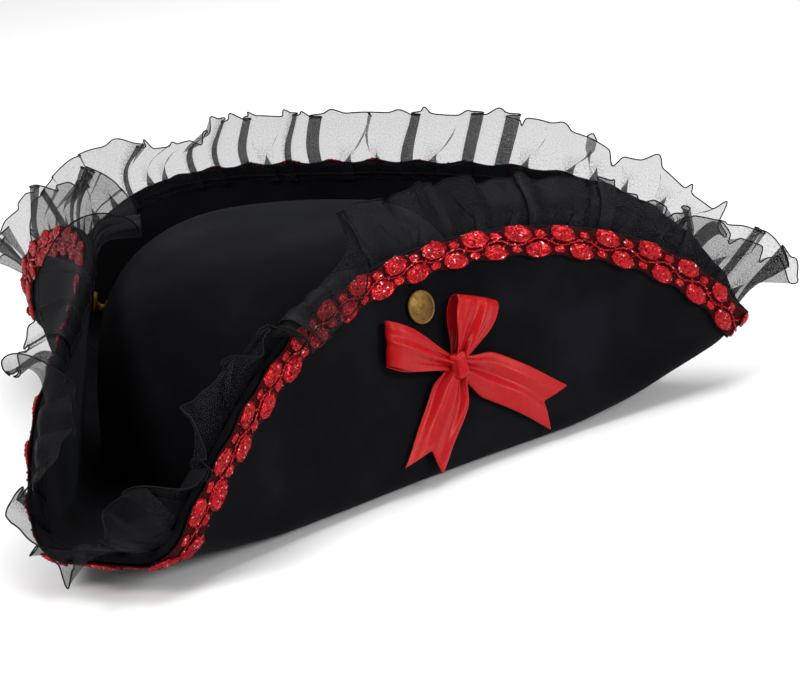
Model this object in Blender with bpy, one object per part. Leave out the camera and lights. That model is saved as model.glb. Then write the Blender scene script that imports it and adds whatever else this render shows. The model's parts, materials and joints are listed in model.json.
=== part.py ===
"""Cocked three-point pirate hat.

A stiffened velvet brim is folded up on three gently bowed folds round a domed velvet crown. Each
turned-up flap is held to the crown by a brass snap fastener, and it swings outward about its fold
when the snap is undone. A sequin trim and a gathered ruffle run along the edge, and a ribbon bow is
sewn to the left flap.

The origin is the middle of the head opening, on the plane that the hat stands on. +Z is up, -Y is
the wearer's front and +X the wearer's left. An angle round the hat is counted from the front
towards +X. The brim is designed as a flat disc, in which a point has a radius and an angle, and
brim_middle() folds that disc up. Offsets from the brim's middle surface are positive on the side
that is on top of the flat disc, which is the crown's side of a turned-up flap.
"""
import math

import bmesh
import bpy
import numpy as np
from mathutils import Matrix, Vector

# ---- Crown, metres -------------------------------------------------------------------------
CROWN_WIDTH = 0.1796
CROWN_LENGTH = 0.1988
CROWN_HEIGHT = 0.1035
CROWN_FORWARD = 0.0028
CROWN_SHOULDER = 0.40
CROWN_RISE = 0.77
CROWN_VELVET = 0.0007
CROWN_FORM = 0.0012
LINING_SLACK = 0.0022
LINING_THICKNESS = 0.0004
SWEATBAND_THICKNESS = 0.0006
SWEATBAND_HEIGHT = 0.026
LAYER_GAP = 0.0003
OPENING_CLEARANCE = 0.0005

# ---- Brim ----------------------------------------------------------------------------------
FOLD_CLEARANCE = 0.0095
FOLD_BEND = 0.009
FLAP_REACH = 0.1021
FRONT_TRIM_BACK = 0.0085
POINT_REACH = 0.0044
SIDE_FLAP_ANGLE = math.radians(62)
BACK_FLAP_ANGLE = math.radians(180)
SIDE_FOLD_BOW = 0.95
BACK_FOLD_BOW = -0.55
FLAP_END_LEAN = math.radians(72.5)
LEAN_CHANGE_POWER = 2.37
LEAN_CHANGE_LENGTH = 0.17
POINT_FLAT = 0.0128
POINT_LIFT_LENGTH = 0.085
FRONT_POINT_LIFT = 0.0147
REAR_POINT_LIFT = 0.0192
BRIM_VELVET = 0.0006
BRIM_STIFFENER = 0.0016

# ---- Flaps and hinges ----------------------------------------------------------------------
FLAP_HALF_ANGLE = math.radians(46)
FLAP_END_GAP = math.radians(0.6)
FOLD_GAP = 0.002
HINGE_OUTWARD = 0.004
HINGE_HEIGHT = 0.005

# ---- Edge trimmings ------------------------------------------------------------------------
TRIM_WIDTH = 0.013
TRIM_OVERHANG = 0.001
TRIM_THICKNESS = 0.0012
SEWN_GAP = 0.0007
RUFFLE_SEAM = 0.006
RUFFLE_HEIGHT = 0.027
RUFFLE_END_GAP = math.radians(1.7)
RUFFLE_SEAM_THICKNESS = 0.0012
RUFFLE_HEM_INWARD = 0.0065
RUFFLE_HEM_OUTWARD = 0.003

# ---- Snap fasteners ------------------------------------------------------------------------
SNAP_HEIGHT = 0.0708
SNAP_REACH = 0.0063
SNAP_SEAT = 0.0009
CAP_RADIUS = 0.0075
CAP_RIM = 0.0007
CAP_DOME = 0.0011
RIVET_RADIUS = 0.0016
HOLE_CLEARANCE = 0.0003
SOCKET_RADIUS = 0.0058
SOCKET_BORE = 0.0035
SOCKET_HEIGHT = 0.0024
STUD_FLANGE_RADIUS = 0.0048
STUD_FLANGE = 0.0009
STUD_NECK_RADIUS = 0.0020
STUD_HEAD_RADIUS = 0.0026
STUD_HEAD_GAP = 0.0006
POST_RADIUS = 0.0046
POST_THICKNESS = 0.0006
POST_DEPTH = 0.0035

# ---- Bow, on the left flap -----------------------------------------------------------------
KNOT_ALONG = 0.0129
KNOT_BELOW_SNAP = 0.0284
KNOT_SIZE = (0.0095, 0.0105, 0.0062)
KNOT_BEVEL = 0.0022
RIBBON_WIDTH = 0.0215
RIBBON_THICKNESS = 0.0008
RIBBON_NOTCH = 0.010
BOW_LIFT = 0.0018
KNOT_PINCH = 0.0075
KNOT_GAP = 0.0004
LOOP_THICKNESS = 0.0085
LOOP_PINCH_THICKNESS = 0.003
SIDE_LOOP = (-0.0365, 0.0185)
UPPER_LOOP = (0.0205, 0.0265)
LONG_TAIL = (-0.0305, -0.0360)
SIDE_TAIL = (0.0545, -0.0290)

# ---- How finely the solids are faceted -----------------------------------------------------
CROWN_SEGMENTS = 28
CROWN_RINGS = 7
FLAP_COLUMNS = 9
POINT_COLUMNS = 8
POINT_ROWS = 1
FLAP_ROWS = (0.0, 0.05, 0.10, 0.50)
LATHE_SEGMENTS = 12
SEARCH_STEPS = 40
DERIVATIVE_STEP = 1e-4

KNOT_HEIGHT = SNAP_HEIGHT - KNOT_BELOW_SNAP
FORM_INSET = CROWN_VELVET + LAYER_GAP
LINING_INSET = FORM_INSET + CROWN_FORM + LINING_SLACK
SWEATBAND_INSET = LINING_INSET + LINING_THICKNESS + LAYER_GAP
OPENING_INSET = FORM_INSET - OPENING_CLEARANCE
HALF_BRIM = BRIM_VELVET + LAYER_GAP + BRIM_STIFFENER / 2
UP = np.array([0.0, 0.0, 1.0])
CROWN_MIDDLE = np.array([0.0, -CROWN_FORWARD, 0.0])


# ---- Crown shape ---------------------------------------------------------------------------
def crown_point(angle, rise, inset=0.0):
    """Point on the crown at an angle round it and a rise from 0 at the base to 90 degrees."""
    plan = max(math.cos(rise), 0.0) ** CROWN_SHOULDER
    x = (CROWN_WIDTH / 2 - inset) * plan * math.sin(angle)
    y = -CROWN_FORWARD - (CROWN_LENGTH / 2 - inset) * plan * math.cos(angle)
    z = (CROWN_HEIGHT - inset) * math.sin(rise) ** CROWN_RISE
    return np.array([x, y, z])


def crown_rise_at(height, inset):
    """Rise at which the crown, inset by a distance, reaches a height."""
    return math.asin((height / (CROWN_HEIGHT - inset)) ** (1 / CROWN_RISE))


def crown_reach(direction):
    """How far the crown's base reaches from the origin along a level direction."""
    x, y = direction[:2]
    return math.hypot(CROWN_WIDTH / 2 * x, CROWN_LENGTH / 2 * y) - CROWN_FORWARD * y


def nearest_on_crown(point):
    """Point on the crown's outside that is nearest to a point beside it."""
    angle = math.atan2(point[0], -point[1] - CROWN_FORWARD)
    rise = math.radians(40)
    step = math.radians(10)
    while step > 1e-7:
        spots = [(angle + i * step, min(max(rise + j * step, 0.01), math.pi / 2 - 0.01))
                 for i in (-1, 0, 1) for j in (-1, 0, 1)]
        best = min(spots, key=lambda spot: np.linalg.norm(crown_point(*spot) - point))
        if best == (angle, rise):
            step /= 2
        angle, rise = best
    return crown_point(angle, rise)


def crown_gap(point):
    """Distance of a point from the crown's outside, negative if the point is inside it."""
    foot = nearest_on_crown(point)
    outward = foot - CROWN_MIDDLE
    return math.copysign(np.linalg.norm(point - foot), (point - foot) @ outward)


def opening_radius(angle):
    """Radius of the brim's inner edge, which lies under the crown's velvet."""
    half_width = CROWN_WIDTH / 2 - OPENING_INSET
    half_length = CROWN_LENGTH / 2 - OPENING_INSET
    square = (math.sin(angle) / half_width) ** 2 + (math.cos(angle) / half_length) ** 2
    slope = -2 * CROWN_FORWARD * math.cos(angle) / half_length ** 2
    rest = (CROWN_FORWARD / half_length) ** 2 - 1
    return (-slope + math.sqrt(slope ** 2 - 4 * square * rest)) / (2 * square)


# ---- Folding the brim ----------------------------------------------------------------------
def fold_profile(distance, lean):
    """Level and upward place of brim cloth at a flat distance beyond a fold that leans so far."""
    radius = 2 * FOLD_BEND / lean
    if distance <= -FOLD_BEND:
        return distance, 0.0
    if distance <= FOLD_BEND:
        turn = lean * (distance + FOLD_BEND) / (2 * FOLD_BEND)
        return radius * math.sin(turn) - FOLD_BEND, radius * (1 - math.cos(turn))
    level = radius * math.sin(lean) - FOLD_BEND + (distance - FOLD_BEND) * math.cos(lean)
    height = radius * (1 - math.cos(lean)) + (distance - FOLD_BEND) * math.sin(lean)
    return level, height


class Flap:
    """One turned-up flap: where its fold lies, and how far it leans to meet its snap."""

    def __init__(self, name, angle, bow):
        self.name = name
        self.angle = angle
        self.bow = bow
        self.out = np.array([math.sin(angle), -math.cos(angle), 0.0])
        self.along = np.array([math.cos(angle), math.sin(angle), 0.0])
        self.fold = crown_reach(self.out) + FOLD_CLEARANCE
        self.lean = self.lean_to_snap()

    def snap_place(self, lean):
        level, height = fold_profile(SNAP_HEIGHT, lean)
        return self.out * (self.fold + level) + UP * (HALF_BRIM + height)

    def lean_to_snap(self):
        """Lean at which the flap's inner face stands SNAP_REACH off the crown at the snap."""
        least, most = math.radians(50), math.radians(150)
        for _ in range(SEARCH_STEPS):
            lean = (least + most) / 2
            if crown_gap(self.snap_place(lean)) > SNAP_REACH + HALF_BRIM:
                least = lean
            else:
                most = lean
        return lean

    def fold_distance(self, along):
        """Distance of the fold line from the origin, at a place along it."""
        return self.fold + self.bow * along ** 2 / 2

    def fold_radius(self, angle, beyond):
        """Disc radius at which a ray meets the line that lies a distance beyond the fold."""
        turn = angle - self.angle
        reach = self.fold + beyond
        inner = math.cos(turn) ** 2 - 2 * self.bow * math.sin(turn) ** 2 * reach
        return 2 * reach / (math.cos(turn) + math.sqrt(inner))

    def shift(self, flat):
        """How far folding this flap moves a point of the flat disc."""
        along = float(flat @ self.along)
        distance = float(flat @ self.out) - self.fold_distance(along)
        share = min(abs(along) / LEAN_CHANGE_LENGTH, 1.15) ** LEAN_CHANGE_POWER
        lean = self.lean + (FLAP_END_LEAN - self.lean) * share
        level, height = fold_profile(distance, lean)
        return self.out * (level - distance) + UP * height

    def hinge(self):
        """Point on the hinge axis, which runs along self.along."""
        return self.out * (self.fold + HINGE_OUTWARD) + UP * HINGE_HEIGHT


LEFT = Flap("left", SIDE_FLAP_ANGLE, SIDE_FOLD_BOW)
RIGHT = Flap("right", -SIDE_FLAP_ANGLE, SIDE_FOLD_BOW)
BACK = Flap("back", BACK_FLAP_ANGLE, BACK_FOLD_BOW)
FLAPS = (LEFT, BACK, RIGHT)
BRIM_RADIUS = LEFT.fold + FLAP_REACH
LIFT_START = crown_reach((0.0, -1.0)) + POINT_FLAT


def edge_radius(angle):
    """Radius of the flat disc's edge: a little cut back in front, and full at the three points."""
    return BRIM_RADIUS - FRONT_TRIM_BACK * math.cos(angle) + POINT_REACH * math.cos(3 * angle)


def edge_rows(angle):
    """Radii where the trim begins, where the ruffle's seam begins, and of the edge."""
    edge = edge_radius(angle)
    return [edge + TRIM_OVERHANG - TRIM_WIDTH, edge - RUFFLE_SEAM, edge]


def point_lift(radius, angle):
    """Height by which the three points curl up off the plane that the hat stands on."""
    start = max((radius - LIFT_START) / POINT_LIFT_LENGTH, 0.0) ** 1.5
    front = max(math.cos(angle), 0.0) ** 4
    rear = sum(max(math.cos(angle - side), 0.0) ** 4
               for side in (math.radians(120), math.radians(-120)))
    return start * (FRONT_POINT_LIFT * front + REAR_POINT_LIFT * rear)


def brim_middle(radius, angle):
    """Point of the brim's middle surface, folded up, from its place on the flat disc."""
    flat = np.array([radius * math.sin(angle), -radius * math.cos(angle), 0.0])
    folded = flat + UP * (HALF_BRIM + point_lift(radius, angle))
    for flap in FLAPS:
        folded = folded + flap.shift(flat)
    return folded


def brim_normal(radius, angle):
    """Unit normal of the brim's middle surface, upward where the brim is flat."""
    place = brim_middle(radius, angle)
    outward = brim_middle(radius + DERIVATIVE_STEP, angle) - place
    around = brim_middle(radius, angle + DERIVATIVE_STEP) - place
    normal = np.cross(outward, around)
    return normal / np.linalg.norm(normal)


def brim_point(radius, angle, offset=0.0):
    return brim_middle(radius, angle) + brim_normal(radius, angle) * offset


# ---- Making solids -------------------------------------------------------------------------
def make_material(name, colour, roughness, metallic=0.0):
    material = bpy.data.materials.new(name)
    material.use_nodes = True
    shader = material.node_tree.nodes["Principled BSDF"]
    shader.inputs["Base Color"].default_value = (*colour, 1.0)
    shader.inputs["Roughness"].default_value = roughness
    shader.inputs["Metallic"].default_value = metallic
    material.diffuse_color = (*colour, 1.0)
    return material


def add_object(name, body, material, parent=None, smooth=False):
    """Turn a bmesh in world coordinates into an object, held by its parent's origin if it has one."""
    data = bpy.data.meshes.new(name)
    if parent:
        bmesh.ops.translate(body, verts=body.verts, vec=-parent.location)
    body.to_mesh(data)
    body.free()
    if smooth:
        data.shade_smooth()
        data.set_sharp_from_angle(angle=math.radians(40))
    if material:
        data.materials.append(material)
    made = bpy.data.objects.new(name, data)
    made.parent = parent
    bpy.context.collection.objects.link(made)
    return made


def close_sheet(lower, upper, faces):
    """One closed body between two matching sheets of points, with walls round the sheets' edges."""
    body = bmesh.new()
    below = [body.verts.new(point) for point in lower]
    above = [body.verts.new(point) for point in upper]
    rim = {}
    for face in faces:
        body.faces.new([above[i] for i in face])
        body.faces.new([below[i] for i in reversed(face)])
        for start, end in zip(face, face[1:] + face[:1]):
            if rim.pop((end, start), None) is None:
                rim[(start, end)] = True
    for start, end in rim:
        body.faces.new([below[start], below[end], above[end], above[start]])
    loose = [vertex for vertex in body.verts if not vertex.link_faces]
    bmesh.ops.delete(body, geom=loose, context="VERTS")
    return body


def grid_faces(rows, columns, wanted=lambda row, column: True):
    """Triangles of a grid whose point (row, column) has index row * columns + column."""
    faces = []
    for row in range(rows - 1):
        for column in range(columns - 1):
            if wanted(row, column):
                corner = row * columns + column
                across = corner + columns
                faces.append([corner, across, across + 1])
                faces.append([corner, across + 1, corner + 1])
    return faces


def lathe(profile, place, axis, closed=False):
    """Turn a profile of (radius, height) pairs about an axis, where radius 0 is on the axis."""
    turn = Vector((0, 0, 1)).rotation_difference(Vector(axis)).to_matrix().to_4x4()
    frame = Matrix.Translation(Vector(place)) @ turn
    body = bmesh.new()
    rings = []
    for radius, height in profile:
        steps = LATHE_SEGMENTS if radius > 0 else 1
        ring = []
        for step in range(steps):
            angle = 2 * math.pi * step / steps
            spot = Vector((radius * math.cos(angle), radius * math.sin(angle), height))
            ring.append(body.verts.new(frame @ spot))
        rings.append(ring)
    pairs = list(zip(rings, rings[1:]))
    if closed:
        pairs.append((rings[-1], rings[0]))
    for first, second in pairs:
        for step in range(LATHE_SEGMENTS):
            after = (step + 1) % LATHE_SEGMENTS
            corners = [first[step % len(first)], first[after % len(first)],
                       second[after % len(second)], second[step % len(second)]]
            body.faces.new(list(dict.fromkeys(corners)))
    return body


def cut_hole(solids, name, place, axis, length):
    """Drill a rivet's hole through several solids with one hidden cylinder."""
    radius = RIVET_RADIUS + HOLE_CLEARANCE
    profile = [(0, -length / 2), (radius, -length / 2), (radius, length / 2), (0, length / 2)]
    cutter = add_object(name, lathe(profile, place, axis), None)
    cutter.hide_render = True
    cutter.display_type = "WIRE"
    for solid in solids:
        modifier = solid.modifiers.new("rivet_hole", "BOOLEAN")
        modifier.operation = "DIFFERENCE"
        modifier.solver = "EXACT"
        modifier.object = cutter


# ---- Crown ---------------------------------------------------------------------------------
def crown_sheet(inset, base_height, top_height=None):
    """Points of a crown surface, ring by ring upward, ending in one top point if it is a dome."""
    low = crown_rise_at(base_height, inset)
    high = crown_rise_at(top_height, inset) if top_height else math.pi / 2
    rings = 2 if top_height else CROWN_RINGS
    points = []
    for ring in range(rings):
        rise = low + (high - low) * ring / (rings - 1 if top_height else rings)
        for step in range(CROWN_SEGMENTS):
            points.append(crown_point(2 * math.pi * step / CROWN_SEGMENTS, rise, inset))
    if not top_height:
        points.append(crown_point(0, math.pi / 2, inset))
    return points


def crown_faces(points):
    """Triangles of a crown sheet, facing outward."""
    rings = len(points) // CROWN_SEGMENTS
    faces = []
    for ring in range(rings - 1):
        for step in range(CROWN_SEGMENTS):
            corner = ring * CROWN_SEGMENTS + step
            after = ring * CROWN_SEGMENTS + (step + 1) % CROWN_SEGMENTS
            faces.append([corner, after, after + CROWN_SEGMENTS])
            faces.append([corner, after + CROWN_SEGMENTS, corner + CROWN_SEGMENTS])
    if len(points) % CROWN_SEGMENTS:
        last = (rings - 1) * CROWN_SEGMENTS
        for step in range(CROWN_SEGMENTS):
            faces.append([last + step, last + (step + 1) % CROWN_SEGMENTS, len(points) - 1])
    return faces


def crown_shell(name, inset, thickness, base_height, material, top_height=None):
    outer = crown_sheet(inset, base_height, top_height)
    inner = crown_sheet(inset + thickness, base_height, top_height)
    body = close_sheet(inner, outer, crown_faces(outer))
    return add_object(name, body, material, smooth=True)


def make_crown(materials):
    cover = crown_shell("crown_cover", 0.0, CROWN_VELVET, 2 * HALF_BRIM + LAYER_GAP,
                        materials["velvet"])
    form = crown_shell("crown_form", FORM_INSET, CROWN_FORM, 0.0, materials["stiffener"])
    crown_shell("crown_lining", LINING_INSET, LINING_THICKNESS, LAYER_GAP, materials["lining"])
    crown_shell("sweatband", SWEATBAND_INSET, SWEATBAND_THICKNESS, LAYER_GAP,
                materials["sweatband"], SWEATBAND_HEIGHT)
    return cover, form


# ---- Brim ----------------------------------------------------------------------------------
def spread(start, end, count):
    return [start + (end - start) * step / count for step in range(count + 1)]


def sectors():
    """The brim's sectors in order round the hat: a name, a flap or None, and two end angles."""
    listed = []
    for flap, point in zip(FLAPS, ("left_point", "right_point", "front_point")):
        following = FLAPS[(FLAPS.index(flap) + 1) % len(FLAPS)]
        end = flap.angle + FLAP_HALF_ANGLE
        after = (following.angle - FLAP_HALF_ANGLE) % (2 * math.pi)
        while after < end:
            after += 2 * math.pi
        listed.append((flap.name + "_flap", flap, flap.angle - FLAP_HALF_ANGLE, end))
        listed.append((point, None, end, after))
    return listed


def flap_at(angle):
    """The flap whose middle is nearest to an angle."""
    return max(FLAPS, key=lambda flap: math.cos(angle - flap.angle))


def base_columns():
    """Rays of the fixed base: angle, radius of the ring round the crown, and if a point follows."""
    columns = []
    for _, flap, start, end in sectors():
        count = FLAP_COLUMNS if flap else POINT_COLUMNS
        for angle in spread(start, end, count)[:-1]:
            if flap:
                radius = flap.fold_radius(angle, -FOLD_GAP / 2)
            else:
                share = (angle - start) / (end - start)
                first = flap_at(start).fold_radius(start, -FOLD_GAP / 2)
                last = flap_at(end).fold_radius(end, -FOLD_GAP / 2)
                radius = first + (last - first) * share
            columns.append((angle, radius, flap is None))
    return columns


def base_layer(name, low, high, material):
    """One layer of the brim's fixed part: a ring round the crown with the three points."""
    columns = base_columns()
    rows = POINT_ROWS + 5
    places = []
    for angle, radius, _ in columns:
        trim, seam, edge = edge_rows(angle)
        opening = opening_radius(angle)
        inner = [opening, min(LIFT_START, (opening + radius) / 2), radius]
        outer = spread(radius, trim, POINT_ROWS)[1:] + [seam, edge]
        places.extend((each, angle) for each in inner + outer)

    def wanted(column, row):
        return row < 2 or columns[column][2]

    faces = grid_faces(len(columns) + 1, rows, wanted)
    faces = [[index % len(places) for index in reversed(face)] for face in faces]
    lower = [brim_point(*place, low) for place in places]
    upper = [brim_point(*place, high) for place in places]
    return add_object(name, close_sheet(lower, upper, faces), material, smooth=True)


def strip_places(start, end, columns, radii):
    """Disc places of a strip: radii(angle) gives the row radii on each of its rays."""
    return [[(radius, angle) for radius in radii(angle)] for angle in spread(start, end, columns)]


def strip_solid(name, places, lows, highs, material, parent):
    """A closed strip over disc places, with an offset below and above for each row."""
    rows = len(places[0])
    lower = [brim_point(*place, low) for ray in places for place, low in zip(ray, lows)]
    upper = [brim_point(*place, high) for ray in places for place, high in zip(ray, highs)]
    faces = [list(reversed(face)) for face in grid_faces(len(places), rows)]
    return add_object(name, close_sheet(lower, upper, faces), material, parent, smooth=True)


def brim_layers():
    """Name, lower offset and upper offset of each brim layer, and its material's name."""
    middle = BRIM_STIFFENER / 2
    return (("velvet_outside", -HALF_BRIM, -HALF_BRIM + BRIM_VELVET, "velvet"),
            ("stiffener", -middle, middle, "stiffener"),
            ("velvet_inside", HALF_BRIM - BRIM_VELVET, HALF_BRIM, "velvet"))


def flap_layer(flap, parent, name, low, high, material):
    def radii(angle):
        inner = flap.fold_radius(angle, FOLD_GAP / 2)
        trim, seam, edge = edge_rows(angle)
        return [inner + (trim - inner) * share for share in FLAP_ROWS] + [trim, seam, edge]

    start = flap.angle - FLAP_HALF_ANGLE + FLAP_END_GAP
    end = flap.angle + FLAP_HALF_ANGLE - FLAP_END_GAP
    places = strip_places(start, end, FLAP_COLUMNS, radii)
    rows = len(FLAP_ROWS) + 3
    title = f"{flap.name}_flap_{name}"
    return strip_solid(title, places, [low] * rows, [high] * rows, material, parent)


def make_brim(materials, hinges):
    flap_solids = {flap: [] for flap in FLAPS}
    for name, low, high, slot in brim_layers():
        base_layer(f"brim_base_{name}", low, high, materials[slot])
        for flap in FLAPS:
            solid = flap_layer(flap, hinges[flap], name, low, high, materials[slot])
            flap_solids[flap].append(solid)
    return flap_solids


# ---- Edge trimmings ------------------------------------------------------------------------
def make_edge_trimmings(materials, hinges):
    """Sequin trim outside the edge and gathered ruffle inside it, one piece for each sector."""
    trim_top = -HALF_BRIM - SEWN_GAP
    ruffle_base = HALF_BRIM + SEWN_GAP
    hem = HALF_BRIM + RUFFLE_HEM_INWARD

    def trim_radii(angle):
        trim, seam, edge = edge_rows(angle)
        return [trim, seam, edge + TRIM_OVERHANG]

    def ruffle_radii(angle):
        _, seam, edge = edge_rows(angle)
        return [seam, edge, edge + RUFFLE_HEIGHT]

    for name, flap, start, end in sectors():
        gap = FLAP_END_GAP if flap else 0.0
        ruffle_gap = RUFFLE_END_GAP if flap else 0.0
        columns = FLAP_COLUMNS if flap else POINT_COLUMNS
        parent = hinges.get(flap)
        trim = strip_places(start + gap, end - gap, columns, trim_radii)
        strip_solid(f"{name}_sequin_trim", trim, [trim_top - TRIM_THICKNESS] * 3, [trim_top] * 3,
                    materials["sequins"], parent)
        ruffle = strip_places(start + ruffle_gap, end - ruffle_gap, columns, ruffle_radii)
        lows = [ruffle_base, ruffle_base, -RUFFLE_HEM_OUTWARD]
        highs = [ruffle_base + RUFFLE_SEAM_THICKNESS, ruffle_base + 2 * RUFFLE_SEAM_THICKNESS, hem]
        strip_solid(f"{name}_ruffle", ruffle, lows, highs, materials["organza"], parent)


# ---- Snap fasteners ------------------------------------------------------------------------
def make_snap(flap, materials, parent, flap_solids, crown_solids):
    """A riveted cap and socket on the flap, and a stud and its post on the crown."""
    radius = flap.fold + SNAP_HEIGHT
    middle = brim_middle(radius, flap.angle)
    inward = brim_normal(radius, flap.angle)
    foot = nearest_on_crown(middle)
    outward = (middle - foot) / np.linalg.norm(middle - foot)
    brass = materials["brass"]

    head = SNAP_SEAT + CAP_RIM
    cap = [(0, -2 * HALF_BRIM), (RIVET_RADIUS, -2 * HALF_BRIM), (RIVET_RADIUS, SNAP_SEAT),
           (CAP_RADIUS, SNAP_SEAT), (CAP_RADIUS, head), (CAP_RADIUS * 0.86, head + CAP_DOME * 0.45),
           (CAP_RADIUS * 0.5, head + CAP_DOME * 0.85), (0, head + CAP_DOME)]
    outer_face = middle - inward * HALF_BRIM
    add_object(f"{flap.name}_snap_cap", lathe(cap, outer_face, -inward), brass, parent, True)

    inner_face = middle + inward * (HALF_BRIM + SNAP_SEAT)
    lip = SOCKET_RADIUS - 0.0006
    socket = [(SOCKET_BORE, 0), (SOCKET_RADIUS, 0), (SOCKET_RADIUS, SOCKET_HEIGHT * 0.6),
              (lip, SOCKET_HEIGHT), (SOCKET_BORE, SOCKET_HEIGHT)]
    ring = lathe(socket, inner_face, inward, closed=True)
    add_object(f"{flap.name}_snap_socket", ring, brass, parent, True)

    top = SNAP_REACH - STUD_HEAD_GAP
    base = LAYER_GAP + STUD_FLANGE
    stud = [(0, LAYER_GAP), (STUD_FLANGE_RADIUS, LAYER_GAP), (STUD_FLANGE_RADIUS, base),
            (STUD_NECK_RADIUS, base + STUD_FLANGE / 2), (STUD_NECK_RADIUS, top - 0.002),
            (STUD_HEAD_RADIUS, top - 0.0012), (STUD_NECK_RADIUS, top - 0.0002), (0, top)]
    add_object(f"{flap.name}_snap_stud", lathe(stud, foot, outward), brass, None, True)

    post = [(0, -POST_DEPTH - POST_THICKNESS), (POST_RADIUS, -POST_DEPTH - POST_THICKNESS),
            (POST_RADIUS, -POST_DEPTH), (RIVET_RADIUS, -POST_DEPTH), (RIVET_RADIUS, 0), (0, 0)]
    add_object(f"{flap.name}_snap_post", lathe(post, foot, outward), brass, None, True)

    cut_hole(flap_solids, f"{flap.name}_cap_hole_guide", middle, inward, 4 * HALF_BRIM)
    drill = 2 * POST_DEPTH
    cut_hole(crown_solids, f"{flap.name}_post_hole_guide", foot, outward, drill)


# ---- Bow -----------------------------------------------------------------------------------
def left_flap_face(along, height, offset):
    """Point off the left flap's outer face; below the bend it goes on straight down."""
    above = max(height, FOLD_BEND)

    def disc(distance):
        flat = LEFT.out * (LEFT.fold_distance(along) + distance) + LEFT.along * along
        return math.hypot(flat[0], flat[1]), math.atan2(flat[0], -flat[1])

    place = brim_point(*disc(above), -HALF_BRIM - offset)
    step = brim_middle(*disc(above + DERIVATIVE_STEP)) - brim_middle(*disc(above))
    return place + step / DERIVATIVE_STEP * (height - above)


def ribbon_rows(end, notch):
    """Rows of a ribbon from the knot to an end: middle, half width and how far the middle is back."""
    reach = math.hypot(*end)
    way = np.array(end) / reach
    start = (abs(way[0]) * KNOT_SIZE[0] + abs(way[1]) * KNOT_SIZE[1]) / 2 + KNOT_GAP
    rows = [(start, KNOT_PINCH / 2, 0.0),
            (start + (reach - start) * 0.25, RIBBON_WIDTH * 0.36, 0.0),
            (start + (reach - start) * 0.5, RIBBON_WIDTH / 2, 0.0),
            (reach, RIBBON_WIDTH / 2, notch)]
    return way, rows


def bow_piece(name, end, notch, thicknesses, material, parent):
    """A tapered length of ribbon from the knot to an end, lying off the flap's face."""
    way, rows = ribbon_rows(end, notch)
    side = np.array([-way[1], way[0]])
    lower = []
    upper = []
    for (reach, half_width, back), thickness in zip(rows, thicknesses):
        for share in (-1, 0, 1):
            spot = way * (reach - (back if share == 0 else 0.0)) + side * half_width * share
            along, height = KNOT_ALONG + spot[0], KNOT_HEIGHT + spot[1]
            lower.append(left_flap_face(along, height, BOW_LIFT))
            upper.append(left_flap_face(along, height, BOW_LIFT + thickness))
    body = close_sheet(lower, upper, grid_faces(len(rows), 3))
    add_object(name, body, material, parent)


def make_bow(materials, parent):
    satin = materials["satin"]
    flat = [RIBBON_THICKNESS] * 4
    full = [LOOP_PINCH_THICKNESS, LOOP_THICKNESS * 0.7, LOOP_THICKNESS, LOOP_THICKNESS * 0.8]
    bow_piece("bow_side_loop", SIDE_LOOP, 0.0, full, satin, parent)
    bow_piece("bow_upper_loop", UPPER_LOOP, 0.0, full, satin, parent)
    bow_piece("bow_long_tail", LONG_TAIL, RIBBON_NOTCH, flat, satin, parent)
    bow_piece("bow_side_tail", SIDE_TAIL, RIBBON_NOTCH, flat, satin, parent)

    centre = left_flap_face(KNOT_ALONG, KNOT_HEIGHT, BOW_LIFT + KNOT_SIZE[2] / 2)
    upward = left_flap_face(KNOT_ALONG, KNOT_HEIGHT + DERIVATIVE_STEP, 0.0)
    upward = upward - left_flap_face(KNOT_ALONG, KNOT_HEIGHT, 0.0)
    upward = Vector(upward).normalized()
    outward = Vector(LEFT.along).cross(upward).normalized()
    turn = Matrix((upward.cross(outward), upward, outward)).transposed().to_4x4()
    body = bmesh.new()
    bmesh.ops.create_cube(body, size=1.0)
    bmesh.ops.scale(body, verts=body.verts, vec=Vector(KNOT_SIZE))
    bmesh.ops.bevel(body, geom=body.edges[:], offset=KNOT_BEVEL, segments=2, profile=0.5,
                    affect="EDGES")
    bmesh.ops.transform(body, verts=body.verts, matrix=Matrix.Translation(Vector(centre)) @ turn)
    add_object("bow_knot", body, satin, parent, smooth=True)


# ---- The hat -------------------------------------------------------------------------------
def make_hinges():
    """An empty on each flap's hinge axis, which the flap's pieces hang from."""
    hinges = {}
    for flap in FLAPS:
        empty = bpy.data.objects.new(f"{flap.name}_flap_hinge", None)
        empty.location = Vector(flap.hinge())
        empty.empty_display_size = FOLD_BEND
        bpy.context.collection.objects.link(empty)
        hinges[flap] = empty
    return hinges


def main():
    for old in list(bpy.data.objects):
        bpy.data.objects.remove(old, do_unlink=True)
    materials = {
        "velvet": make_material("black_velvet", (0.012, 0.012, 0.014), 0.95),
        "stiffener": make_material("stiff_interlining", (0.06, 0.06, 0.06), 0.9),
        "lining": make_material("black_lining_cloth", (0.02, 0.02, 0.022), 0.6),
        "sweatband": make_material("black_grosgrain_band", (0.025, 0.025, 0.027), 0.7),
        "sequins": make_material("red_sequin_braid", (0.55, 0.01, 0.02), 0.35, 0.3),
        "organza": make_material("black_organza", (0.03, 0.03, 0.03), 0.5),
        "satin": make_material("red_satin", (0.62, 0.01, 0.015), 0.35),
        "brass": make_material("aged_brass", (0.42, 0.30, 0.14), 0.38, 1.0),
    }
    hinges = make_hinges()
    crown_solids = make_crown(materials)
    flap_solids = make_brim(materials, hinges)
    make_edge_trimmings(materials, hinges)
    for flap in FLAPS:
        make_snap(flap, materials, hinges[flap], flap_solids[flap], crown_solids)
    make_bow(materials, hinges[LEFT])


main()
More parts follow.
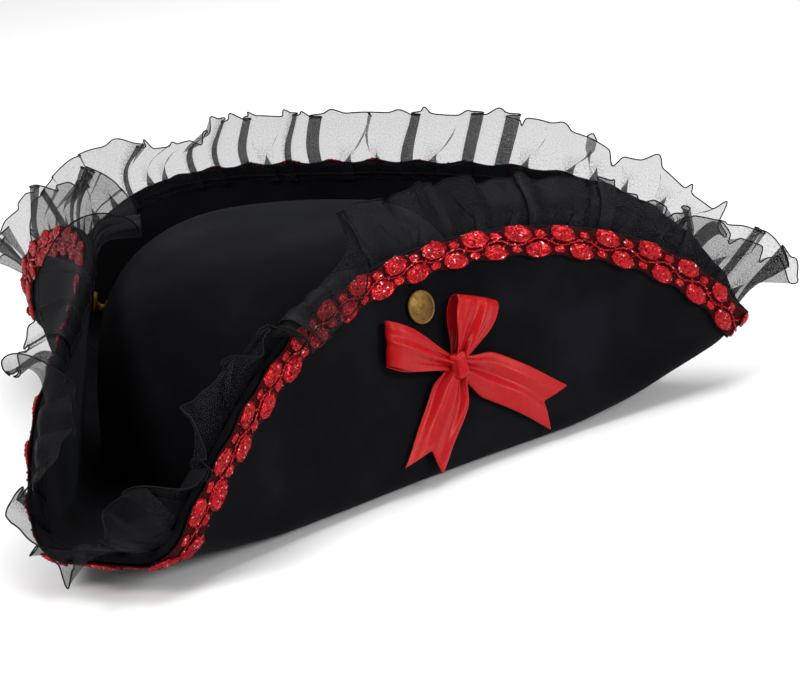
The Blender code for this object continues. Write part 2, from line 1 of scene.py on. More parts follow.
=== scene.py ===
"""Three-cornered pirate hat: the finished look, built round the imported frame.

The brim is a flat disc folded up on three gently bowed folds round a domed crown. Every soft
piece is laid out on that disc, by a radius and an angle counted from the wearer's front towards
the left, and is folded up with it. Offsets from the brim's middle surface are positive on the
crown's side. Sizes are metres.
"""

import json
import math
import random

import bmesh
import bpy
import numpy as np
from bpy.props import FloatProperty, FloatVectorProperty, IntProperty, PointerProperty
from mathutils import Matrix, Vector


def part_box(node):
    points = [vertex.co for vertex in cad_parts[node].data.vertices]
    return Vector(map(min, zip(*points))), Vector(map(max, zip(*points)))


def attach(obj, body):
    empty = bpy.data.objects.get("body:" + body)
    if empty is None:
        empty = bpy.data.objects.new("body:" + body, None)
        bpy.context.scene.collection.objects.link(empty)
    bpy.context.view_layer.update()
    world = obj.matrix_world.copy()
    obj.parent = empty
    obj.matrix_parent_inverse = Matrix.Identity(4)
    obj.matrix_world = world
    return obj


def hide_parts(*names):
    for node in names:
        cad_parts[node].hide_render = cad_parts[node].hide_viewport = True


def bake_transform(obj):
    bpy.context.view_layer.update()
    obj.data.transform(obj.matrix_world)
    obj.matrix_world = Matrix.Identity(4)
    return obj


bl_info = {
    "name": "Pirate Hat Maker",
    "version": (1, 0, 0),
    "blender": (4, 5, 0),
    "location": "3D View > Sidebar > Hat",
    "description": "Builds a velvet three-cornered hat with sequin braid, ruffle and bow",
    "category": "Add Mesh",
}

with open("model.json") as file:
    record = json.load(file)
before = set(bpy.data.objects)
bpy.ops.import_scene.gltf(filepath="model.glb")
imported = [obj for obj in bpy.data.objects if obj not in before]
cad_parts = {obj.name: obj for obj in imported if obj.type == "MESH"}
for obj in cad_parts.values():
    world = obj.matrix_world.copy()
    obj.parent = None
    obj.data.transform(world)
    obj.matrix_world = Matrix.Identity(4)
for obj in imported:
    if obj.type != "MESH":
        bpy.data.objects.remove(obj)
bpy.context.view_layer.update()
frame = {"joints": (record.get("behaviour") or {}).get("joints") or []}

# ---- Sizes of the frame's own layers -------------------------------------------------------
FORM_INSET = 0.0010
FORM_THICKNESS = 0.0012
LINING_INSET = 0.0044
LINING_THICKNESS = 0.0004
BAND_INSET = 0.0051
BAND_THICKNESS = 0.0006
CROWN_VELVET = 0.0007
CROWN_FORWARD = 0.0028
CROWN_SHOULDER = 0.40
CROWN_RISE = 0.77
CROWN_MEAN_RADIUS = 0.092
CROWN_BASE_RISE = 0.0003
OPENING_INSET = 0.0005
BRIM_VELVET = 0.0006
BRIM_STIFFENER = 0.0016
HALF_BRIM = 0.0017

# ---- How the brim's disc is cut and folded -------------------------------------------------
HINGE_OUTWARD = 0.004
FOLD_BEND = 0.009
FLAP_REACH = 0.1021
FRONT_TRIM_BACK = 0.0085
POINT_REACH = 0.0044
SIDE_FLAP_LEAN = math.radians(101.214)
BACK_FLAP_LEAN = math.radians(101.371)
FLAP_END_LEAN = math.radians(72.5)
LEAN_CHANGE_POWER = 2.37
LEAN_CHANGE_LENGTH = 0.17
SIDE_FOLD_BOW = 0.95
BACK_FOLD_BOW = -0.55
POINT_FLAT = 0.0128
POINT_LIFT_LENGTH = 0.085
FRONT_POINT_LIFT = 0.0147
REAR_POINT_LIFT = 0.0192
REAR_POINT = math.radians(118.5)
SNAP_HEIGHT = 0.0708
STEP = 1e-4

UP = np.array([0.0, 0.0, 1.0])


def node_size(node):
    low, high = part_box(node)
    return high - low


def box_middle(node):
    low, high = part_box(node)
    return (np.array(low) + np.array(high)) / 2


FORM_SIZE = node_size("crown_form")
CROWN_WIDTH = FORM_SIZE.x + 2 * FORM_INSET
CROWN_LENGTH = FORM_SIZE.y + 2 * FORM_INSET
CROWN_HEIGHT = FORM_SIZE.z + FORM_INSET


# ---- Shapes of the crown and the brim ------------------------------------------------------
def crown_point(angle, rise, inset=0.0):
    """Points on the crown, at angles round it and rises from 0 at its base to a quarter turn."""
    plan = np.maximum(np.cos(rise), 0.0) ** CROWN_SHOULDER
    x = (CROWN_WIDTH / 2 - inset) * plan * np.sin(angle)
    y = -CROWN_FORWARD - (CROWN_LENGTH / 2 - inset) * plan * np.cos(angle)
    z = (CROWN_HEIGHT - inset) * np.sin(rise) ** CROWN_RISE
    return np.stack(np.broadcast_arrays(x, y, z), -1)


def crown_rise_at(height, inset):
    return math.asin((height / (CROWN_HEIGHT - inset)) ** (1 / CROWN_RISE))


def opening_radius(angle):
    """Radius of the brim's inner edge, which lies under the crown's velvet."""
    half_width = CROWN_WIDTH / 2 - OPENING_INSET
    half_length = CROWN_LENGTH / 2 - OPENING_INSET
    square = (np.sin(angle) / half_width) ** 2 + (np.cos(angle) / half_length) ** 2
    slope = -2 * CROWN_FORWARD * np.cos(angle) / half_length ** 2
    rest = (CROWN_FORWARD / half_length) ** 2 - 1
    return (-slope + np.sqrt(slope ** 2 - 4 * square * rest)) / (2 * square)


def fold_profile(distance, lean):
    """Level and upward places of brim cloth at flat distances beyond a fold that leans so far."""
    radius = 2 * FOLD_BEND / lean
    turn = lean * np.clip((distance + FOLD_BEND) / (2 * FOLD_BEND), 0, 1)
    beyond = np.maximum(distance - FOLD_BEND, 0)
    before = np.minimum(distance + FOLD_BEND, 0)
    level = before + radius * np.sin(turn) - FOLD_BEND + beyond * np.cos(lean)
    height = radius * (1 - np.cos(turn)) + beyond * np.sin(lean)
    return level, height


class Flap:
    """One turned-up flap and the panel of brim from point to point that it belongs to."""

    def __init__(self, name, start, end, lean, bow, point, base):
        joint = next(j for j in frame["joints"] if j["name"] == f"{name}_flap_fold")
        place = np.array(joint["pos_m"][:2])
        reach = np.linalg.norm(place)
        self.name = name
        self.body = joint["child"]
        self.start = start
        self.end = end
        self.lean = lean
        self.bow = bow
        # The point and the layer of the brim's base that this flap's panel stands for as well.
        self.point = point
        self.base = base
        self.out = np.array([*(place / reach), 0.0])
        self.along = np.array([-self.out[1], self.out[0], 0.0])
        self.angle = math.atan2(self.out[0], -self.out[1])
        self.fold = reach - HINGE_OUTWARD

    def shift(self, flat):
        """How far folding this flap moves points of the flat disc."""
        along = flat @ self.along
        distance = flat @ self.out - self.fold - self.bow * along ** 2 / 2
        share = np.minimum(np.abs(along) / LEAN_CHANGE_LENGTH, 1.15) ** LEAN_CHANGE_POWER
        lean = self.lean + (FLAP_END_LEAN - self.lean) * share
        level, height = fold_profile(distance, lean)
        return self.out * (level - distance)[..., None] + UP * height[..., None]


FULL_TURN = 2 * math.pi
LEFT = Flap("left", 0.0, REAR_POINT, SIDE_FLAP_LEAN, SIDE_FOLD_BOW, "left_point",
            "brim_base_velvet_outside")
BACK = Flap("back", REAR_POINT, FULL_TURN - REAR_POINT, BACK_FLAP_LEAN, BACK_FOLD_BOW,
            "right_point", "brim_base_stiffener")
RIGHT = Flap("right", FULL_TURN - REAR_POINT, FULL_TURN, SIDE_FLAP_LEAN, SIDE_FOLD_BOW,
             "front_point", "brim_base_velvet_inside")
FLAPS = (LEFT, BACK, RIGHT)
BRIM_RADIUS = LEFT.fold + FLAP_REACH
LIFT_START = CROWN_LENGTH / 2 + CROWN_FORWARD + POINT_FLAT


def edge_radius(angle):
    return BRIM_RADIUS - FRONT_TRIM_BACK * np.cos(angle) + POINT_REACH * np.cos(3 * angle)


def point_lift(radius, angle):
    """Heights by which the three points curl up."""
    start = np.maximum((radius - LIFT_START) / POINT_LIFT_LENGTH, 0.0) ** 1.5
    lift = FRONT_POINT_LIFT * np.maximum(np.cos(angle), 0.0) ** 4
    for side in (math.radians(120), math.radians(-120)):
        lift = lift + REAR_POINT_LIFT * np.maximum(np.cos(angle - side), 0.0) ** 4
    return start * lift


def brim_middle(radius, angle):
    """Points of the brim's middle surface, folded up, from their places on the flat disc."""
    flat = np.stack([radius * np.sin(angle), -radius * np.cos(angle), np.zeros_like(angle)], -1)
    folded = flat + UP * (HALF_BRIM + point_lift(radius, angle))[..., None]
    for flap in FLAPS:
        folded = folded + flap.shift(flat)
    return folded


def unit(vectors):
    return vectors / np.maximum(np.linalg.norm(vectors, axis=-1, keepdims=True), 1e-12)


def brim_frame(radius, angle):
    """Place, outward way, way round and normal of the brim's middle surface."""
    place = brim_middle(radius, angle)
    outward = unit(brim_middle(radius + STEP, angle) - place)
    around = unit(brim_middle(radius, angle + STEP) - place)
    return place, outward, around, unit(np.cross(outward, around))


def cloth_wave(radius, angle):
    """Gentle unevenness of the stiffened cloth, calm at the snaps and under the crown."""
    wave = (np.sin(angle * 7 + radius * 31) + np.sin(angle * 13 - radius * 52 + 1.3)
            + 0.6 * np.sin(angle * 23 + radius * 85 + 4.1))
    settings = bpy.context.scene.hat_brim
    calm = np.ones_like(radius)
    for flap in FLAPS:
        across = (np.angle(np.exp(1j * (angle - flap.angle)))) * radius
        square = across ** 2 + (radius - flap.fold - SNAP_HEIGHT) ** 2
        calm = calm * (1 - np.exp(-square / settings.snap_calm ** 2))
    calm = calm * np.clip((radius - 0.11) / 0.03, 0, 1)
    return settings.unevenness * wave * calm


def brim_point(radius, angle, offset=0.0):
    radius, angle, offset = np.broadcast_arrays(radius, angle, offset)
    place, _, _, normal = brim_frame(radius, angle)
    return place + normal * (offset + cloth_wave(radius, angle))[..., None]


def edge_table():
    """Angles round the edge, and how far along the edge each of them is."""
    angles = np.linspace(0, FULL_TURN, 1441)
    places = brim_middle(edge_radius(angles), angles)
    steps = np.linalg.norm(np.diff(places, axis=0), axis=1)
    return angles, np.concatenate([[0.0], np.cumsum(steps)])


EDGE_ANGLES, EDGE_DISTANCES = edge_table()
EDGE_LENGTH = EDGE_DISTANCES[-1]


def edge_angle(distance):
    """Angles of places that are so far along the edge from the front point."""
    turns = np.floor(distance / EDGE_LENGTH)
    within = distance - turns * EDGE_LENGTH
    return np.interp(within, EDGE_DISTANCES, EDGE_ANGLES) + turns * FULL_TURN


def edge_distance(angle):
    return float(np.interp(angle, EDGE_ANGLES, EDGE_DISTANCES))


# ---- Meshes --------------------------------------------------------------------------------
def add_piece(name, points, faces, material, uv=None):
    """A smooth mesh piece with its place in its mesh, and a UV map in metres of flat cloth."""
    data = bpy.data.meshes.new(name)
    corners = [list(map(int, face)) for face in faces]
    data.from_pydata(np.asarray(points, float).tolist(), [], corners)
    data.materials.append(material)
    data.shade_smooth()
    if uv is not None:
        used = np.zeros(len(data.loops), int)
        data.loops.foreach_get("vertex_index", used)
        layer = data.uv_layers.new(name="cut")
        layer.data.foreach_set("uv", np.asarray(uv, np.float32)[used].ravel())
    made = bpy.data.objects.new(name, data)
    bpy.context.scene.collection.objects.link(made)
    return made


def face_outward(piece):
    """Turn a closed piece's faces round if they point in."""
    body = bmesh.new()
    body.from_mesh(piece.data)
    if body.calc_volume(signed=True) < 0:
        bmesh.ops.reverse_faces(body, faces=body.faces)
    body.to_mesh(piece.data)
    body.free()
    return piece


def grid_faces(rows, columns, closed=False):
    last = columns if closed else columns - 1
    row, column = np.meshgrid(np.arange(rows - 1), np.arange(last), indexing="ij")
    first = row * columns + column
    second = row * columns + (column + 1) % columns
    return np.stack([first, second, second + columns, first + columns], -1).reshape(-1, 4)


def sheet_piece(name, points, material, uv):
    """A single layer of cloth over a grid of points."""
    rows, columns = points.shape[:2]
    return add_piece(name, points.reshape(-1, 3), grid_faces(rows, columns), material,
                     uv.reshape(-1, 2))


def layer_piece(name, low, high, material, uv):
    """A closed layer of cloth between two grids of points."""
    rows, columns = low.shape[:2]
    count = rows * columns
    index = np.arange(count).reshape(rows, columns)
    rim = np.concatenate([index[0, :-1], index[:-1, -1], index[-1, :0:-1], index[:0:-1, 0]])
    after = np.roll(rim, -1)
    faces = grid_faces(rows, columns)
    walls = np.stack([rim, rim + count, after + count, after], -1)
    faces = np.concatenate([faces, faces[:, ::-1] + count, walls])
    points = np.concatenate([low.reshape(-1, 3), high.reshape(-1, 3)])
    flat = np.concatenate([uv.reshape(-1, 2)] * 2)
    return face_outward(add_piece(name, points, faces, material, flat))


def rings_piece(name, rings, material, closed=False, uv=None):
    """A skin through rings of points, in which a ring of one point is a pole."""
    starts = np.cumsum([0] + [len(ring) for ring in rings])
    pairs = list(zip(range(len(rings) - 1), range(1, len(rings))))
    if closed:
        pairs.append((len(rings) - 1, 0))
    faces = []
    for first, second in pairs:
        sizes = len(rings[first]), len(rings[second])
        count = max(sizes)
        if min(sizes) == count == 1:
            continue
        for step in range(count):
            after = (step + 1) % count
            corners = [starts[first] + step % sizes[0], starts[first] + after % sizes[0],
                       starts[second] + after % sizes[1], starts[second] + step % sizes[1]]
            faces.append(list(dict.fromkeys(corners)))
    return face_outward(add_piece(name, np.concatenate(rings), faces, material, uv))


def tube_piece(name, path, radius, material, sides=6, ends=True):
    """A closed round thread along a path, with a radius that may differ from place to place."""
    path = np.asarray(path, float)
    radius = np.broadcast_to(radius, len(path))
    way = unit(np.gradient(path, axis=0))
    across = unit(np.cross(way, UP + 0.01 * way))
    for i in range(1, len(path)):
        carried = across[i - 1] - way[i] * (across[i - 1] @ way[i])
        across[i] = carried / max(np.linalg.norm(carried), 1e-12)
    up = np.cross(way, across)
    turns = np.arange(sides) * FULL_TURN / sides
    ring = (across[:, None] * np.cos(turns)[None, :, None]
            + up[:, None] * np.sin(turns)[None, :, None])
    rings = list(path[:, None] + ring * radius[:, None, None])
    if ends:
        rings = [path[:1]] + rings + [path[-1:]]
    return rings_piece(name, rings, material)


def join_pieces(name, pieces):
    """Put the meshes of several pieces into the first one."""
    body = bmesh.new()
    for piece in pieces:
        body.from_mesh(piece.data)
    body.to_mesh(pieces[0].data)
    body.free()
    for piece in pieces[1:]:
        bpy.data.objects.remove(piece)
    pieces[0].name = name
    pieces[0].data.name = name
    return pieces[0]


def smoothstep(value):
    value = np.clip(value, 0, 1)
    return value * value * (3 - 2 * value)


def bend_with(piece):
    """Bake the piece's place into its mesh."""
    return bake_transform(piece)


# ---- Repeats by geometry nodes -------------------------------------------------------------
def new_tree(name, inputs):
    tree = bpy.data.node_groups.new(name, "GeometryNodeTree")
    tree.interface.new_socket("Geometry", in_out="INPUT", socket_type="NodeSocketGeometry")
    for label, kind in inputs:
        tree.interface.new_socket(label, in_out="INPUT", socket_type="NodeSocket" + kind)
    tree.interface.new_socket("Geometry", in_out="OUTPUT", socket_type="NodeSocketGeometry")
    return tree


def add_node(tree, kind, links=(), **values):
    """A node with some properties set, and links into it as (input, output socket)."""
    node = tree.nodes.new(kind)
    for key, value in values.items():
        setattr(node, key, value)
    for target, source in links:
        tree.links.new(source, node.inputs[target])
    return node


def random_between(tree, low, high, seed, kind="FLOAT"):
    node = add_node(tree, "FunctionNodeRandomValue", data_type=kind)
    first = 0 if kind == "FLOAT_VECTOR" else 2
    tree.links.new(low, node.inputs[first])
    tree.links.new(high, node.inputs[first + 1])
    tree.links.new(seed, node.inputs["Seed"])
    return node.outputs[0 if kind == "FLOAT_VECTOR" else 1]


def spread_about(tree, middle, share, seed):
    """Random sizes about a middle size, up to a share of it away."""
    reach = add_node(tree, "ShaderNodeMath", [(0, middle), (1, share)], operation="MULTIPLY")
    low = add_node(tree, "ShaderNodeMath", [(0, middle), (1, reach.outputs[0])],
                   operation="SUBTRACT")
    high = add_node(tree, "ShaderNodeMath", [(0, middle), (1, reach.outputs[0])], operation="ADD")
    return random_between(tree, low.outputs[0], high.outputs[0], seed)


def scatter(tree, given, piece, points, rotation, spread):
    """Copies of a piece on points, of random sizes and a little turned at random, as one mesh."""
    source = add_node(tree, "GeometryNodeObjectInfo", [("Object", given[piece])])
    sizes = spread_about(tree, given["Size"], given["Size Spread"], given["Seed"])
    copies = add_node(tree, "GeometryNodeInstanceOnPoints",
                      [("Points", points), ("Instance", source.outputs["Geometry"]),
                       ("Rotation", rotation), ("Scale", sizes)])
    back = add_node(tree, "ShaderNodeVectorMath", [(0, given[spread])], operation="SCALE")
    back.inputs["Scale"].default_value = -1.0
    loose = random_between(tree, back.outputs[0], given[spread], given["Seed"], "FLOAT_VECTOR")
    turned = add_node(tree, "GeometryNodeRotateInstances",
                      [("Instances", copies.outputs[0]), ("Rotation", loose)])
    real = add_node(tree, "GeometryNodeRealizeInstances", [("Geometry", turned.outputs[0])])
    finish = add_node(tree, "GeometryNodeSetMaterial",
                      [("Geometry", real.outputs[0]), ("Material", given["Material"])])
    return finish.outputs[0]


def places_tree():
    """Sets copies of a piece on places, each turned as its place says and a little at random."""
    tree = new_tree("set_on_places", (("Piece", "Object"), ("Size", "Float"),
                                      ("Size Spread", "Float"), ("Turn Spread", "Vector"),
                                      ("Seed", "Int"), ("Material", "Material")))
    given = add_node(tree, "NodeGroupInput").outputs
    turn = add_node(tree, "GeometryNodeInputNamedAttribute", data_type="FLOAT_VECTOR")
    turn.inputs["Name"].default_value = "turn"
    made = scatter(tree, given, "Piece", given["Geometry"], turn.outputs[0], "Turn Spread")
    add_node(tree, "NodeGroupOutput", [("Geometry", made)])
    return tree


def flakes_tree():
    """Scatters loose glitter flakes over a piece, each tilted at random, and keeps the piece."""
    tree = new_tree("glitter_flakes", (("Flake", "Object"), ("Flakes Per Square Metre", "Float"),
                                       ("Size", "Float"), ("Size Spread", "Float"),
                                       ("Tilt", "Vector"), ("Seed", "Int"),
                                       ("Material", "Material")))
    given = add_node(tree, "NodeGroupInput").outputs
    spots = add_node(tree, "GeometryNodeDistributePointsOnFaces",
                     [("Mesh", given["Geometry"]), ("Density", given["Flakes Per Square Metre"]),
                      ("Seed", given["Seed"])])
    flakes = scatter(tree, given, "Flake", spots.outputs["Points"], spots.outputs["Rotation"],
                     "Tilt")
    both = add_node(tree, "GeometryNodeJoinGeometry")
    tree.links.new(given["Geometry"], both.inputs[0])
    tree.links.new(flakes, both.inputs[0])
    add_node(tree, "NodeGroupOutput", [("Geometry", both.outputs[0])])
    return tree


def run_tree(piece, tree, values):
    """Give a piece what a tree makes of it, as a plain mesh."""
    modifier = piece.modifiers.new(tree.name, "NODES")
    modifier.node_group = tree
    for item in tree.interface.items_tree:
        if item.item_type == "SOCKET" and item.in_out == "INPUT" and item.name in values:
            modifier[item.identifier] = values[item.name]
    bpy.context.view_layer.update()
    graph = bpy.context.evaluated_depsgraph_get()
    made = bpy.data.meshes.new_from_object(piece.evaluated_get(graph))
    piece.modifiers.remove(modifier)
    old = piece.data
    piece.data = made
    bpy.data.meshes.remove(old)
    piece.data.name = piece.name
    return piece


def turns_from(x_ways, z_ways):
    """Euler turns that lay a piece's X along one way and its Z along another."""
    turns = []
    for x_way, z_way in zip(x_ways, z_ways):
        y_way = np.cross(z_way, x_way)
        turns.append(Matrix((x_way, y_way, z_way)).transposed().to_euler("XYZ")[:])
    return np.array(turns)


def set_on_places(name, places, turns, piece, material, size=1.0, size_spread=0.0,
                  turn_spread=(0.0, 0.0, 0.0), seed=1):
    """Copies of a hidden piece on places, as one plain mesh piece."""
    data = bpy.data.meshes.new(name)
    data.from_pydata(np.asarray(places).tolist(), [], [])
    attribute = data.attributes.new("turn", "FLOAT_VECTOR", "POINT")
    attribute.data.foreach_set("vector", np.asarray(turns, np.float32).ravel())
    made = bpy.data.objects.new(name, data)
    bpy.context.scene.collection.objects.link(made)
    tree = bpy.data.node_groups.get("set_on_places") or places_tree()
    return run_tree(made, tree, {"Piece": piece, "Size": size, "Size Spread": size_spread,
                                 "Turn Spread": turn_spread, "Seed": seed,
                                 "Material": material})


def drop(piece):
    bpy.data.objects.remove(piece)


# ---- Materials -----------------------------------------------------------------------------
def new_material(name, colour, roughness, **sockets):
    """A material with constant values on its shader's sockets; returns it, its tree and shader."""
    material = bpy.data.materials.new(name)
    material.use_nodes = True
    tree = material.node_tree
    shader = tree.nodes["Principled BSDF"]
    shader.inputs["Base Color"].default_value = (*colour, 1.0)
    shader.inputs["Roughness"].default_value = roughness
    for label, value in sockets.items():
        shader.inputs[label.replace("_", " ")].default_value = value
    return material, tree, shader


def coordinates(tree, which="Object", scale=(1, 1, 1)):
    source = add_node(tree, "ShaderNodeTexCoord").outputs[which]
    mapping = add_node(tree, "ShaderNodeMapping", [("Vector", source)])
    mapping.inputs["Scale"].default_value = scale
    return mapping.outputs[0]


def noise(tree, vector, scale, detail=3.0, roughness=0.55):
    node = add_node(tree, "ShaderNodeTexNoise", [("Vector", vector)])
    node.inputs["Scale"].default_value = scale
    node.inputs["Detail"].default_value = detail
    node.inputs["Roughness"].default_value = roughness
    return node.outputs["Fac"]


def ramp(tree, factor, stops):
    """Colours along a factor, as (place, colour) stops."""
    node = add_node(tree, "ShaderNodeValToRGB", [("Fac", factor)])
    elements = node.color_ramp.elements
    while len(elements) < len(stops):
        elements.new(0.5)
    for element, (place, colour) in zip(elements, stops):
        element.position = place
        element.color = (*colour, 1.0) if len(colour) == 3 else colour
    return node.outputs["Color"]


def tint(tree, shader, factor, stops):
    """Colour a shader along a factor."""
    tree.links.new(ramp(tree, factor, stops), shader.inputs["Base Color"])


def bump(tree, shader, height, distance, strength=1.0):
    node = add_node(tree, "ShaderNodeBump", [("Height", height)])
    node.inputs["Distance"].default_value = distance
    node.inputs["Strength"].default_value = strength
    tree.links.new(node.outputs[0], shader.inputs["Normal"])


def shade(colour, factor):
    return tuple(min(channel * factor, 1.0) for channel in colour)


def velvet_material(name, colour):
    """Short black pile: soft sheen, a fine nap, and painted sheen and shade of brushed pile."""
    material, tree, shader = new_material(name, colour, 0.95, Sheen_Weight=0.022,
                                          Sheen_Roughness=0.35,
                                          Sheen_Tint=(0.62, 0.68, 0.72, 1.0),
                                          Specular_IOR_Level=0.06)
    where = coordinates(tree)
    # Painted sheen and shade: random areas of the pile painted darker and lighter, standing in for
    # pile that lies different ways to the light.
    painted_pile_sheen = noise(tree, where, 26.0, 4.0)
    tint(tree, shader, painted_pile_sheen, ((0.32, shade(colour, 0.5)), (0.52, colour),
                                 (0.72, shade(colour, 1.8))))
    bump(tree, shader, noise(tree, where, 1500.0, 2.0), 0.0004, 0.55)
    return material


def felt_material(name, colour):
    material, tree, shader = new_material(name, colour, 0.95)
    where = coordinates(tree)
    fibres = noise(tree, where, 900.0, 4.0, 0.7)
    tint(tree, shader, fibres, ((0.3, shade(colour, 0.6)), (0.7, shade(colour, 1.5))))
    bump(tree, shader, fibres, 0.0005, 0.7)
    return material


def weave_material(name, colour, roughness, thread, sheen=0.1):
    """Plain weave of a given thread spacing, in the cloth's own flat coordinates."""
    material, tree, shader = new_material(name, colour, roughness, Sheen_Weight=sheen)
    where = coordinates(tree, "UV")
    waves = []
    for direction in ("X", "Y"):
        wave = add_node(tree, "ShaderNodeTexWave", [("Vector", where)], bands_direction=direction)
        wave.inputs["Scale"].default_value = 0.31 / thread
        wave.inputs["Distortion"].default_value = 0.4
        waves.append(wave.outputs["Fac"])
    weave = add_node(tree, "ShaderNodeMath", [(0, waves[0]), (1, waves[1])], operation="MULTIPLY")
    tint(tree, shader, weave.outputs[0], ((0.0, shade(colour, 0.5)),
                                          (0.8, shade(colour, 1.4))))
    bump(tree, shader, weave.outputs[0], thread * 0.3, 0.6)
    return material


def ribbed_material(name, colour, rib):
    """Grosgrain: cross ribs along the band."""
    material, tree, shader = new_material(name, colour, 0.6, Sheen_Weight=0.2)
    wave = add_node(tree, "ShaderNodeTexWave", [("Vector", coordinates(tree, "UV"))],
                    bands_direction="X")
    wave.inputs["Scale"].default_value = 0.31 / rib
    tint(tree, shader, wave.outputs["Fac"], ((0.1, shade(colour, 0.5)),
                                             (0.8, shade(colour, 1.5))))
    bump(tree, shader, wave.outputs["Fac"], rib * 0.35, 0.8)
    return material


def organza_material(name, settings):
    """Sheer crisp cloth: one layer lets light through, and pressed pleats let little through."""
    colour = tuple(settings.colour)
    material, tree, shader = new_material(name, colour, 0.55, Specular_IOR_Level=0.10)
    where = coordinates(tree, "UV")
    speckle = noise(tree, where, 1500.0, 2.0, 0.6)
    cover = settings.cover
    open_cloth = ramp(tree, speckle, ((0.34, (cover * 0.82,) * 3), (0.5, (cover,) * 3),
                                      (0.66, (cover * 1.22,) * 3)))
    pleated = ramp(tree, speckle, ((0.36, (0.35,) * 3), (0.50, (0.66,) * 3),
                                   (0.64, (0.90,) * 3)))
    pressed = add_node(tree, "ShaderNodeAttribute", attribute_name="pressed")
    mix = add_node(tree, "ShaderNodeMix", [("Factor", pressed.outputs["Fac"])], data_type="FLOAT")
    tree.links.new(open_cloth, mix.inputs[2])
    tree.links.new(pleated, mix.inputs[3])
    tree.links.new(mix.outputs[0], shader.inputs["Alpha"])
    tint(tree, shader, speckle, ((0.36, shade(colour, 0.3)), (0.54, colour),
                                 (0.72, shade(colour, 6.0))))
    bump(tree, shader, speckle, 0.0002, 0.5)
    return material


def thread_material(name, colour):
    material, tree, shader = new_material(name, colour, 0.85, Specular_IOR_Level=0.1)
    fuzz = noise(tree, coordinates(tree), 2600.0, 2.0)
    tint(tree, shader, fuzz, ((0.3, shade(colour, 0.5)), (0.7, shade(colour, 1.6))))
    bump(tree, shader, fuzz, 0.0002, 0.6)
    return material


def glitter_material(name, colour, metallic, painted_glint_share, coat):
    """Glossy red glitter whose facets differ in depth of colour, a few of them painted nearly white
    as glints.
    """
    material, tree, shader = new_material(name, colour, 0.30, Metallic=metallic,
                                          Specular_IOR_Level=0.2, Coat_Weight=coat,
                                          Coat_Roughness=0.15)
    where = coordinates(tree)
    cells = add_node(tree, "ShaderNodeTexVoronoi", [("Vector", where)])
    cells.inputs["Scale"].default_value = 1100.0
    pick = add_node(tree, "ShaderNodeSeparateColor", [("Color", cells.outputs["Color"])])
    # Painted glints: the last share of the facets is painted brighter, up to nearly white.
    tint(tree, shader, pick.outputs[0],
         ((0.0, shade(colour, 0.30)), (0.35, shade(colour, 0.75)), (0.72, colour),
          (1.0 - painted_glint_share, shade(colour, 1.3)), (1.0, (1.0, 0.55, 0.55))))
    bump(tree, shader, pick.outputs[1], 0.0004, 0.9)
    return material


def net_material(name, colour):
    """Dark red net: crossed threads over the black cloth behind."""
    material, tree, shader = new_material(name, colour, 0.9, Specular_IOR_Level=0.1)
    where = coordinates(tree, "UV")
    cells = add_node(tree, "ShaderNodeTexVoronoi", [("Vector", where)],
                     feature="DISTANCE_TO_EDGE")
    cells.inputs["Scale"].default_value = 620.0
    cells.inputs["Randomness"].default_value = 0.35
    tint(tree, shader, cells.outputs["Distance"],
         ((0.05, shade(colour, 1.6)), (0.16, colour), (0.30, (0.004, 0.001, 0.002))))
    bump(tree, shader, cells.outputs["Distance"], -0.0006, 0.9)
    return material


def satin_material(name, colour):
    """Woven satin with fine cross lines and a soft broad highlight."""
    material, tree, shader = new_material(name, colour, 0.26, Sheen_Weight=0.02,
                                          Specular_IOR_Level=0.27, Anisotropic=0.3,
                                          Specular_Tint=(1.0, 0.42, 0.34, 1.0),
                                          Sheen_Tint=(1.0, 0.2, 0.15, 1.0))
    where = coordinates(tree, "UV")
    lines = add_node(tree, "ShaderNodeTexWave", [("Vector", where)], bands_direction="X")
    lines.inputs["Scale"].default_value = 0.31 / 0.00055
    lines.inputs["Distortion"].default_value = 0.6
    streaks = noise(tree, coordinates(tree, "UV", (260.0, 40.0, 1.0)), 4.0, 2.0)
    tint(tree, shader, streaks, ((0.3, shade(colour, 0.82)), (0.55, colour),
                                 (0.75, shade(colour, 1.15))))
    bump(tree, shader, lines.outputs["Fac"], 0.00012, 0.35)
    return material


def brass_material(name, colour):
    """Aged brass: a brushed dull face with random stains, the darker ones rougher and the brighter
    ones smoother.
    """
    material, tree, shader = new_material(name, colour, 0.4, Metallic=1.0)
    where = coordinates(tree)
    stain = noise(tree, where, 480.0, 5.0, 0.65)
    tint(tree, shader, stain, ((0.30, shade(colour, 0.55)), (0.5, colour),
                               (0.72, shade(colour, 1.35))))
    rough = add_node(tree, "ShaderNodeMapRange", [("Value", stain)])
    rough.inputs["To Min"].default_value = 0.60
    rough.inputs["To Max"].default_value = 0.42
    tree.links.new(rough.outputs[0], shader.inputs["Roughness"])
    bump(tree, shader, noise(tree, where, 2200.0, 2.0), 0.00008, 0.5)
    return material


